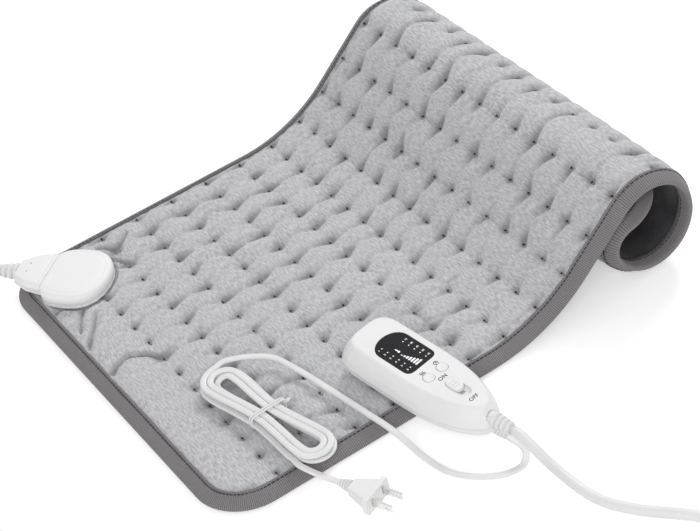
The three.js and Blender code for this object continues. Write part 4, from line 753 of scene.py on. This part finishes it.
def plush_cover(material):
    """Quilted plush: a flat sheet blown up, creased, closed and bent. Gives the place of every tuft."""
    def place(across, along):
        u, v = ROWS[round(along * (len(ROWS) - 1))], ACROSS[round(across * (len(ACROSS) - 1))]
        v *= half_width(u) / (PAD_WIDTH / 2 - HEM)
        return Vector((u, v, min(plush_height(u, v), ceiling(u, v)))) * CLOTH_SCALE

    bm = laid_grid(len(ACROSS) - 1, len(ROWS) - 1, place)
    ops.reverse_faces(bm, faces=bm.faces)
    lay_uv(bm, lambda co, _: co.xy / CLOTH_SCALE)
    blown = piece("plush_cover", bm, material, None)
    blow_up(blown)
    half = blown.modifiers.new("half", "SUBSURF")
    half.levels = half.render_levels = 1
    bm = bmesh.new()
    bm.from_object(blown, bpy.context.evaluated_depsgraph_get())
    bpy.data.objects.remove(blown)
    for vert in bm.verts:
        u, v, w = vert.co / CLOTH_SCALE
        if w > EASE_FROM:
            w = EASE_FROM + EASE_OVER * (1 - exp((EASE_FROM - w) / EASE_OVER))
        inset = edge_inset(u, v)
        w -= folded_in(u, v) * smooth(inset, 11.6, 16)
        vert.co = (u, v, min(max(w, min(hem_height(inset), LOWEST_CREASE)), ceiling(u, v)))
    rim = ops.extrude_edge_only(bm, edges=[e for e in bm.edges if e.is_boundary])["geom"]
    for vert in (g for g in rim if isinstance(g, bmesh.types.BMVert)):
        vert.co.z = RIM_LEVEL
    ops.holes_fill(bm, edges=[e for e in bm.edges if e.is_boundary], sides=0)
    for u in stations([60, 560], [84]):
        low = [f for f in bm.faces if max(v.co.z for v in f.verts) < RIM_LEVEL + 0.1]
        cut = [*low, *{e for f in low for e in f.edges}, *{v for f in low for v in f.verts}]
        ops.bisect_plane(bm, geom=cut, plane_co=(u, 0, 0), plane_no=(1, 0, 0))
    tops = kdtree.KDTree(len(bm.verts))
    for i, vert in enumerate(bm.verts):
        tops.insert((vert.co.x, vert.co.y, 0 if vert.co.z > RIM_LEVEL + 0.2 else 99), i)
    tops.balance()
    bm.verts.ensure_lookup_table()
    tufts = [(u, v, bm.verts[tops.find((u, v, 0))[1]].co.z) for u in LINES for v in COLUMNS]
    sunk, faces_light = [bm.verts.layers.float.new(name) for name in ("sunk", "faces_light")]
    bm.normal_update()
    for vert in bm.verts:
        # sunk: how far the pile lies below its puff tops, which sets the plush's painted shade in the
        # creases.
        vert[sunk] = min(max((9.8 - vert.co.z) / 4.2, 0.0), 1.0)
        # Painted light and shade: this attribute is 1 where the pile faces +Y, towards the key lamp, and 0
        # where it faces away.
        vert[faces_light] = 0.5 + 0.5 * vert.normal.y
    for vert in bm.verts:
        vert.co = bend(*vert.co)
    ops.recalc_face_normals(bm, faces=bm.faces)
    made = piece("plush_cover", bm, material)
    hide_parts("top_cover")
    return tufts


def plush_finish():
    """Short brushed pile: streaks and paler tips, with painted shade in the creases and in the tufts' stitch
    holes, and painted light and shade by which way the pile faces.
    """
    made = Finish("plush", sheen_weight=0.3, sheen_roughness=0.4, specular_ior_level=0.12)
    u, v, lie = made.along()
    brushed = made.noise(lie, (0.85, 0.18, 1.0), roughness=0.6)
    tips = made.noise(lie, (1.7, 0.5, 1.0), roughness=0.7)
    cloud = made.noise(lie, 0.05, 4.0)
    depth, lit_side = [made.node("Attribute", {"attribute_name": name}, out="Fac")
                       for name in ("sunk", "faces_light")]
    across, along = [(0.5 - ((place / pitch).math("FRACT") - 0.5).math("ABSOLUTE")) * pitch
                     for place, pitch in ((v, TUFT_PITCH), (u - FIRST_LINE, LINE_PITCH))]
    inside = u.between(LINES[0] - 4, LINES[0] - 3) * (1 - u.between(LINES[-1] + 3, LINES[-1] + 4))
    # Painted shade: two near-black spots where each tuft's stitch goes down into the pile.
    hole = ((across - 1.7) ** 2.0 + along ** 2.0) ** 0.5
    dot = (1 - hole.between(0.45, 1.2)) * inside
    pile = made.mix(brushed.between(0.37, 0.63), (0.39, 0.39, 0.415), (0.64, 0.64, 0.673))
    for share, tone in (
            (cloud.between(0.3, 0.75) * 0.4, (0.6, 0.6, 0.61)),
            (tips.between(0.38, 0.7) * 0.42, (0.8, 0.8, 0.81)),
            # Painted shade where the pile faces away from the key lamp, painted light where it faces towards
            # it.
            ((1 - lit_side.between(0.2, 0.5)) * 0.4, (0.22, 0.22, 0.23)),
            (lit_side.between(0.52, 0.75) * 0.3, (0.76, 0.76, 0.77)),
            # Painted shade: darker the lower the pile lies in the creases, and near black in each tuft's
            # stitch holes.
            (depth.between(0.15, 1.0) * 0.6, (0.13, 0.13, 0.138)), (dot * 0.95, (0.015, 0.015, 0.017))):
        pile = made.mix(share, pile, tone)
    made.bump(brushed * 0.7 + tips * 0.5 - dot * 1.2, 0.0007, 0.6)
    return made.done(pile, 0.84, 0.12, tips)


def rod(bm, start, end, radius, sides=5):
    """A short straight bar between two points in metres, for a stitch or a mark."""
    run = end - start
    turn = Vector((0, 0, 1)).rotation_difference(run).to_matrix().to_4x4()
    ops.create_cone(bm, cap_ends=True, segments=sides, radius1=radius, radius2=radius, depth=run.length,
                    matrix=Matrix.Translation((start + end) / 2) @ turn)


def thread_finish(name, pale, dark):
    made = Finish(name, specular_ior_level=0.2)
    twist = made.noise(made.at(), 2500.0, 2.0)
    return made.done(made.mix(twist.between(0.35, 0.65), dark, pale), 0.8, 0.15, twist)


def sew_tufts(tufts):
    """One short stitch pulled tight in every tuft."""
    half, radius = 1.0, 0.36
    bm = bmesh.new()
    for u, v, w in tufts:
        rod(bm, bend(u, v - half, w + 0.05), bend(u, v + half, w + 0.05), radius * MM)
    thread = thread_finish("tuft_thread", (0.4, 0.4, 0.41), (0.22, 0.22, 0.23))
    piece("tuft_stitches", bm, thread)


plush = plush_finish()
sew_tufts(plush_cover(plush))

# The pad's outline as stretches of (length, turn), the tape's stitches, and its section as (inset, height)
EDGE = ((PAD_LENGTH - PAD_CORNER - FAR_CORNER, 0), (pi / 2 * PAD_CORNER, pi / 2),
        (PAD_WIDTH - 2 * PAD_CORNER, 0), (pi / 2 * PAD_CORNER, pi / 2)) * 2
EDGE_LENGTH = 2 * (PAD_LENGTH + PAD_WIDTH - 2 * (PAD_CORNER + FAR_CORNER)) + 2 * pi * PAD_CORNER
STITCH_INSET, STITCH_HEIGHT, STITCH_PITCH, STITCH_RADIUS = 9.3, 8.45, 3.5, 0.42
TAPE_SECTION = (
    (13, 0.05), (9, 0), (3.4, 0.05), (1.2, 0.6), (0.25, 1.5), (0, 2.4), (0.3, 3.3), (1.2, 4.2), (3.0, 5.3),
    (5.5, 6.75), (7.6, 7.85), (8.7, 8.25), (STITCH_INSET, 8.2), (9.9, 8.55), (10.6, 9.15), (11.2, 9.4),
    (11.6, 9.1), (11.2, 8.6), (9.3, 7.5), (5.5, 5.9), (3.0, 4.4), (1.7, 2.9), (2.6, 1.2), (9, 0.95),
    (12.8, 0.95))


def on_edge(share, inset, w):
    """Point by the pad's edge after a share of its length, so far inside it and so high."""
    u, v, heading = walked(EDGE, PAD_CORNER, -PAD_WIDTH / 2, share % 1.0 * EDGE_LENGTH)
    u, v = u - inset * sin(heading), v + inset * cos(heading)
    return bend(u, v, min(w, ceiling(u, v) + 0.3))


def tape_finish():
    """Grosgrain: fine ribs across the tape, darker between them."""
    made = Finish("tape", sheen_weight=0.15, specular_ior_level=0.15)
    round_it, along, _ = made.along()
    rib = 0.5 + 0.5 * (along * (2 * pi / 1.5)).math("SINE")
    lie = made.node("CombineXYZ", {}, [along, round_it, 0.0])
    thread = made.noise(lie, (0.6, 2.6, 1.0), 2.0)
    cloud = made.noise(lie, 0.06)
    base = made.mix(rib.between(0.1, 0.75), (0.145, 0.133, 0.139), (0.29, 0.272, 0.28))
    base = made.mix(thread.between(0.35, 0.7) * 0.35, base, (0.3, 0.285, 0.292))
    made.bump(rib * 0.8 + thread * 0.4, 0.0004, 0.7)
    return made.done(made.mix(cloud.between(0.4, 0.7) * 0.25, base, (0.2, 0.19, 0.195)), 0.8, 0.1, thread)


def bind_edge():
    """Woven tape folded round the whole edge, and its row of stitches."""
    rings = 440

    def place(section_share, edge_share):
        inset, w = TAPE_SECTION[round(section_share * len(TAPE_SECTION)) % len(TAPE_SECTION)]
        angle = 2 * pi * (edge_share % 1.0)
        ring = Vector((cos(angle), sin(angle), 0)) * EDGE_LENGTH / 2 / pi
        pucker = noise.noise(ring / 9) * 0.28 + noise.noise(ring / 31) * 0.3
        if w > 4:
            w += pucker * smooth(inset, 0.5, 5)
        if inset > 8:
            inset += 0.5 * noise.noise(ring / 14 + Vector((0, 0, 7)))
        return on_edge(edge_share, inset, w)

    bm = laid_grid(len(TAPE_SECTION), rings, place, (TAPE_ROUND, EDGE_LENGTH))
    close(bm)
    tape = piece("edge_tape", bm, tape_finish())
    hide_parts("edge_binding")
    bm = bmesh.new()
    stitches = int(EDGE_LENGTH / STITCH_PITCH)
    for i in range(stitches):
        ends = [(i + part) / stitches for part in (0.16, 0.84)]
        from_end = walked(EDGE, PAD_CORNER, -PAD_WIDTH / 2, ends[0] * EDGE_LENGTH)[0]
        for w in (STITCH_HEIGHT, 0) if from_end > FLAT + RISE else (STITCH_HEIGHT,):
            rod(bm, *[on_edge(end, STITCH_INSET, w) for end in ends], STITCH_RADIUS * MM)
    sewn = piece("tape_stitches", bm, thread_finish("tape_thread", (0.07, 0.065, 0.07), (0.03, 0.03, 0.032)))
    return tape, sewn


def backing_finish():
    """Dark knitted backing: fine loops in rows and soft creases."""
    made = Finish("backing", sheen_weight=0.2, specular_ior_level=0.1)
    u, v, lie = made.along()
    loops = 0.5 + 0.5 * (u * (2 * pi / 1.3)).math("SINE") * (v * (2 * pi / 1.1)).math("SINE")
    cloud = made.noise(lie, 0.045, 4.0)
    base = made.mix(cloud.between(0.3, 0.7), (0.024, 0.024, 0.027), (0.06, 0.06, 0.065))
    made.bump(loops + cloud * 2.0, 0.0004, 0.5)
    return made.done(made.mix(loops.between(0.3, 0.8) * 0.35, base, (0.085, 0.085, 0.09)), 0.86, 0.1, cloud)


def back_pad(trim):
    """The backing: one sheet under the pad, slack where it turns inside the roll."""
    def lift(u, v):
        inset = edge_inset(u, v)
        slack = smooth(u, FLAT + RISE, FLAT + RISE + RAMP) * smooth(inset, 14, 40)
        fold = noise.noise(Vector((u / 26, v / 44, 2))) + 0.5 * noise.noise(Vector((u / 11, v / 19, 8)))
        return 0.1 + 0.95 * (1 - smooth(inset, 10, 18)) + slack * (1.1 * fold - 0.6)

    def place(across, along):
        u = HEM + along * (PAD_LENGTH - 2 * HEM)
        return Vector((u, (2 * across - 1) * half_width(u), 0))

    bm = laid_grid(84, 150, place)
    lay_uv(bm, lambda co, _: co.xy)
    ops.recalc_face_normals(bm, faces=bm.faces)
    ops.solidify(bm, geom=bm.faces[:], thickness=BACKING_THICKNESS)
    low = min(vert.co.z for vert in bm.verts)
    for vert in bm.verts:
        u, v, w = vert.co
        vert.co = bend(u, v, w - low + lift(u, v))
    ops.recalc_face_normals(bm, faces=bm.faces)
    made = piece("backing", bm, backing_finish())
    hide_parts("bottom_cover")


back_pad(bind_edge())


def metal(name, pale, dark, roughness):
    """Plated metal: fine drawn lines and a little tarnish."""
    made = Finish(name, metallic=1.0)
    at = made.at()
    drawn = made.noise(at, (3000.0, 3000.0, 300.0))
    cloud = made.noise(at, 160.0)
    return made.done(made.mix(cloud.between(0.35, 0.75), pale, dark), roughness, 0.18, drawn, (0.00002, 0.15))


def felt_finish():
    """Needled felt: pale fibres lying along the pad."""
    made = Finish("felt", specular_ior_level=0.1)
    fibres = made.noise(made.at(), (400.0, 900.0, 900.0), 4.0)
    colour = made.mix(fibres.between(0.3, 0.7), (0.5, 0.48, 0.44), (0.72, 0.7, 0.65))
    return made.done(colour, 0.9, 0.08, fibres, (0.0004, 0.5))


def board_finish():
    """Solder mask with copper runs showing paler through it."""
    made = Finish("board", ior=1.5)
    at = made.at()
    runs = made.node("TexVoronoi", {}, {"Vector": at, "Scale": 260.0}, out="Distance")
    colour = made.mix(runs.between(0.28, 0.36), (0.03, 0.15, 0.06), (0.015, 0.075, 0.03))
    return made.done(colour, 0.35, 0.2, made.noise(at, 300.0))


def dress_nodes():
    """Every solid of the frame gets the finish of its slot."""
    finishes = {
        "white_shell": moulded("white_shell", (0.9, 0.9, 0.9), (0.865, 0.865, 0.87), 0.38),
        "white_cord": moulded("soft_white", (0.85, 0.85, 0.85), (0.8, 0.8, 0.805), 0.46),
        "dark_plastic": moulded("dark_plastic", (0.016, 0.016, 0.018), (0.026, 0.026, 0.028), 0.45),
        "lens": moulded("lens", (0.018, 0.018, 0.02), (0.012, 0.012, 0.014), 0.2, 200.0, ior=1.3),
        "light_guide": moulded("light_guide", (0.78, 0.78, 0.75), (0.7, 0.7, 0.68), 0.5),
        "wire": moulded("wire", (0.14, 0.03, 0.025), (0.1, 0.02, 0.018), 0.5),
        "steel": metal("steel", (0.8, 0.8, 0.79), (0.7, 0.7, 0.69), 0.26),
        "contact": metal("contact", (0.6, 0.42, 0.16), (0.48, 0.32, 0.12), 0.3),
        "felt": felt_finish(), "board": board_finish(), "plush": plush,
        "backing": bpy.data.materials["backing"], "tape": bpy.data.materials["tape"],
    }
    for row in frame["record"]["subparts"]:
        mesh = nodes[row["node"]].data
        mesh.materials.clear()
        mesh.materials.append(finishes[row["material_slot"]])


dress_nodes()


def puck_outline():
    """The socket seen from above: straight across the seam, round behind."""
    seam_x, half, seam = 25, 29, 21
    corners = [Vector(p) for p in ((seam_x, seam), (20, half), (11, half), (0, half), (-15.5, half),
                                   (-seam_x, 18), (-seam_x, 0))]
    line = [Vector((seam_x, y)) for y in stations([0, seam], [5])[:-1]]
    for a, b, c, d in (corners[0:4], corners[3:7]):
        for t in stations([0, 1], [14])[:-1]:
            line.append((1 - t) ** 3 * a + 3 * t * (1 - t) ** 2 * b + 3 * t * t * (1 - t) * c + t ** 3 * d)
    line.append(corners[-1])
    return [*line, *[Vector((p.x, -p.y)) for p in line[-2:0:-1]]]


def socket_dome(material):
    """The socket's cover: an upright side, a rounded lip and a groove round its raised top."""
    rings = []
    for inset, z in ((0.3, 4.3), (0, 4.6), (0, 8.8), (0.12, 9.8), (0.5, 10.8), (1.2, 11.8), (2.1, 12.5),
                     (3.1, 12.95), (4.1, 13.15), (4.5, 13.12), (4.75, 12.85), (5.15, 12.85), (5.4, 13.12),
                     (6.2, 13.4), (9, 13.75), (14, 13.95), (19, 14)):
        ring = []
        for p in puck_outline():
            away = p.normalized() * inset
            ring.append(socket @ Vector((p.x - away.x * (1 - 0.88 * smooth(p.x, 18, 25)), p.y - away.y, z)))
        rings.append(ring)
    made = lofted("socket_dome", rings, material)
    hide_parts("socket_cover")


def plug_top(material, ink):
    """The plug's upper shell, tapered from a flange to the strain relief, and its two marks."""
    mark_x, mark_y, mark_z, mark_radius, round_over = 17.5, 4.6, 6.02, 0.6, 4
    widths = smooth_line([Vector(p) for p in (
        (0, 20, 6.2), (3, 20, 6.2), (14.85, 17.2, 6.1), (PLUG_LENGTH, 11, 5.3))], 1.6)
    rings = []
    for x, inset in ((0, 0.4), (0.3, 0.1), (0.6, 0), (2.3, 0), (2.6, 0.35), (2.9, 0.35), (3.2, 0.1),
                     (4.5, 0.1), *[(x, 0.1) for x in range(6, 26, 2)], (26, 0.15), (26.7, 0.35),
                     (PLUG_LENGTH, 0.65)):
        after = next(p for p in widths if p.x >= x)
        before = next(p for p in reversed(widths) if p.x <= x)
        share = (x - before.x) / (after.x - before.x) if after.x > before.x else 0
        half, top = (before + (after - before) * share).yz - Vector((inset, inset))
        in_y, in_z = half - round_over, top - round_over
        edge = [(half, 0.15), (half, 1.2), (half, in_z)]
        edge += [(in_y + round_over * cos(a), in_z + round_over * sin(a)) for a in (0.3, 0.6, 0.9, 1.2)]
        edge += [(in_y, top), (half * 0.4, top + 0.15), (0, top + 0.2)]
        edge += [(-y, z) for y, z in edge[-2::-1]] + [(-half * 0.4, 0.15), (half * 0.4, 0.15)]
        rings.append([lead_plug @ Vector((x, y, z)) for y, z in edge])
    made = lofted("plug_top", rings, material, "lead_plug")
    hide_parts("plug_upper_shell")
    bm = bmesh.new()
    for side in (-1, 1):
        flat_dot(bm, mark_x, mark_y * side, mark_z, mark_radius)
    ops.transform(bm, matrix=Matrix.Scale(MM, 4) @ lead_plug, verts=bm.verts)
    piece("plug_marks", bm, ink, "lead_plug")


def print_finish(name, pale, dark, glow=0.0):
    made = Finish(name, emission_strength=glow)
    grain = made.noise(made.at(), 1800.0, 2.0)
    ink = made.mix(grain.between(0.35, 0.65), dark, pale)
    made.glow(ink)
    return made.done(ink, 0.55, 0.1, grain)


def flat_text(bm, body, size, x, y, z):
    """A word or number on the controller, read from its left side."""
    curve = bpy.data.curves.new(body, "FONT")
    curve.body, curve.size, curve.extrude, curve.offset = body, size, 0.04, 0.02 * size
    curve.space_character = 1.1
    curve.align_x = curve.align_y = "CENTER"
    text = linked(body, curve)
    mesh = bpy.data.meshes.new_from_object(text.evaluated_get(bpy.context.evaluated_depsgraph_get()))
    bpy.data.objects.remove(text)
    mesh.transform(Matrix.Translation((x, y, z)) @ Matrix.Rotation(pi / 2, 4, "Z"))
    bm.from_mesh(mesh)
    bpy.data.meshes.remove(mesh)


def flat_bar(bm, low, high, z):
    size = (high[0] - low[0], high[1] - low[1], 0.08)
    middle = ((high[0] + low[0]) / 2, (high[1] + low[1]) / 2, z)
    made = ops.create_cube(bm, size=1, matrix=Matrix.Translation(middle) @ Matrix.Diagonal((*size, 1)))
    edges = {e for v in made["verts"] for e in v.link_edges if abs(e.verts[0].co.z - e.verts[1].co.z) > 0.01}
    ops.bevel(bm, geom=list(edges), offset=min(size[0], size[1]) * 0.2, segments=2, profile=0.5,
              affect="EDGES", material=-1)


def flat_dot(bm, x, y, z, radius):
    ops.create_cone(bm, cap_ends=True, segments=14, radius1=radius, radius2=radius, depth=0.08,
                    matrix=Matrix.Translation((x, y, z)))


def print_controller():
    """What shows on the display, and the marks beside the buttons and the switch."""
    window, deck, line_radius = 23.92, 24.02, 0.28
    bar_pitch, dot_pitch, dot_radius = 2.3, 5.6, 0.5
    lit = bmesh.new()
    for i in range(7):
        flat_bar(lit, (-18.6 + bar_pitch * i, -3.2), (-17.1 + bar_pitch * i, -2.5 + 0.9 * i), window)
    rows = ((6, 1, 2.2, -33, -7.3, -10.1), (5, 15, 2, -26.5, 7, 9.9))
    for count, unit, size, first_x, dot_y, text_y in rows:
        for i in range(count):
            x = first_x + dot_pitch * i
            flat_dot(lit, x, dot_y, window, dot_radius)
            flat_text(lit, str(unit * (i + 1)), size, x, text_y, window)
    flat_bar(lit, (-25.4, -2.3), (-22.3, -1.4), window)
    flat_dot(lit, -21.7, -1.85, window, 0.95)
    dark = bmesh.new()
    flat_text(dark, "ON", 4.5, 19.2, -0.4, deck)
    flat_text(dark, "OFF", 4.2, 48.6, -0.6, deck)
    clock, clock_radius = Vector((5.9, 6.5, deck)), 1.7
    waves = [[Vector((7.6 - 0.42 * i, -6.5 + 1.35 * k + 0.45 * sin(i * pi / 4), deck)) for i in range(9)]
             for k in (-1, 0, 1)]
    ring = [clock + clock_radius * Vector((cos(i * pi / 9), sin(i * pi / 9), 0)) for i in range(19)]
    hands = [[clock, clock + Vector(p)] for p in ((-1.15, 0, 0), (0, 0.85, 0))]
    for line in (*waves, ring, *hands):
        for a, b in zip(line, line[1:]):
            rod(dark, a, b, line_radius, 4)
    light = print_finish("display_light", (0.95, 0.95, 0.95), (0.85, 0.85, 0.86), 0.25)
    ink = print_finish("grey_ink", (0.07, 0.07, 0.075), (0.045, 0.045, 0.05))
    for name, bm, finish, slot in (("display_marks", lit, light, "lens"),
                                   ("printed_marks", dark, ink, "dark_plastic")):
        ops.transform(bm, matrix=Matrix.Scale(MM, 4) @ controller, verts=bm.verts)
        ops.recalc_face_normals(bm, faces=bm.faces)
        made = piece(name, bm, finish)
        made.data.polygons.foreach_set("use_smooth", [False] * len(made.data.polygons))


print_controller()
socket_dome(bpy.data.materials["white_shell"])
plug_top(bpy.data.materials["white_shell"], bpy.data.materials["grey_ink"])
ribbed("plug_ribs", "plug_strain_relief", lead_plug, Vector((PLUG_LENGTH + RELIEF_GAP, 0, 0)), PLUG_RELIEF,
       (6.8, 4.9), "lead_plug")
ribbed("lead_ribs", "lead_gland", controller, Vector((NOSE + RELIEF_GAP, 0, LEAD_LEVEL)), LEAD_RELIEF,
       (5.6, 4.9), collar=LEAD_COLLAR)
ribbed("mains_ribs", "mains_gland", controller, Vector((NOSE + RELIEF_GAP, 0, MAINS_LEVEL)), MAINS_RELIEF,
       (3.4, 2.9), collar=MAINS_COLLAR)


def light_and_floor():
    """A white room: an even sky, two soft lamps, and a floor that fades into the sky."""
    sky_light, floor_glow, floor_drop = 0.61, 0.4, 0.0002
    scene = bpy.context.scene
    scene.view_settings.view_transform = "Standard"
    scene.world = bpy.data.worlds.new("studio")
    sky = Tree(scene.world, "Background", "OutputWorld")
    sky.put(sky.shader.inputs["Strength"], sky.node(
        "MapRange", {}, {"Value": sky.looked_at(), "To Min": sky_light, "To Max": 1.0}))

    def lamp(name, at, aim, size, watts):
        shade = bpy.data.lights.new(name, "AREA")
        shade.shape, shade.size, shade.energy = "DISK", size, watts
        made = linked(name, shade)
        made.location = at
        made.rotation_euler = (Vector(aim) - Vector(at)).to_track_quat("-Z", "Y").to_euler()

    lamp("key", (2.9, 1.9, 2.6), (0.06, -0.1, 0), 1.4, 76)
    lamp("fill", (-1.6, -2.6, 2.2), (0.05, -0.05, 0), 2.4, 54)

    made = Finish("floor_sheet", roughness=0.9, emission_strength=floor_glow)
    made.colour(made.mix(made.noise(made.at(), 3.0), (0.88, 0.88, 0.88), (0.9, 0.9, 0.9)))
    made.glow(made.mix(made.looked_at(), (0, 0, 0), (1, 1, 1)))
    bm = bmesh.new()
    ops.create_grid(bm, x_segments=4, y_segments=4, size=4)
    ops.translate(bm, verts=bm.verts, vec=(0, 0, -floor_drop))
    piece("floor", bm, made.material, None)


light_and_floor()
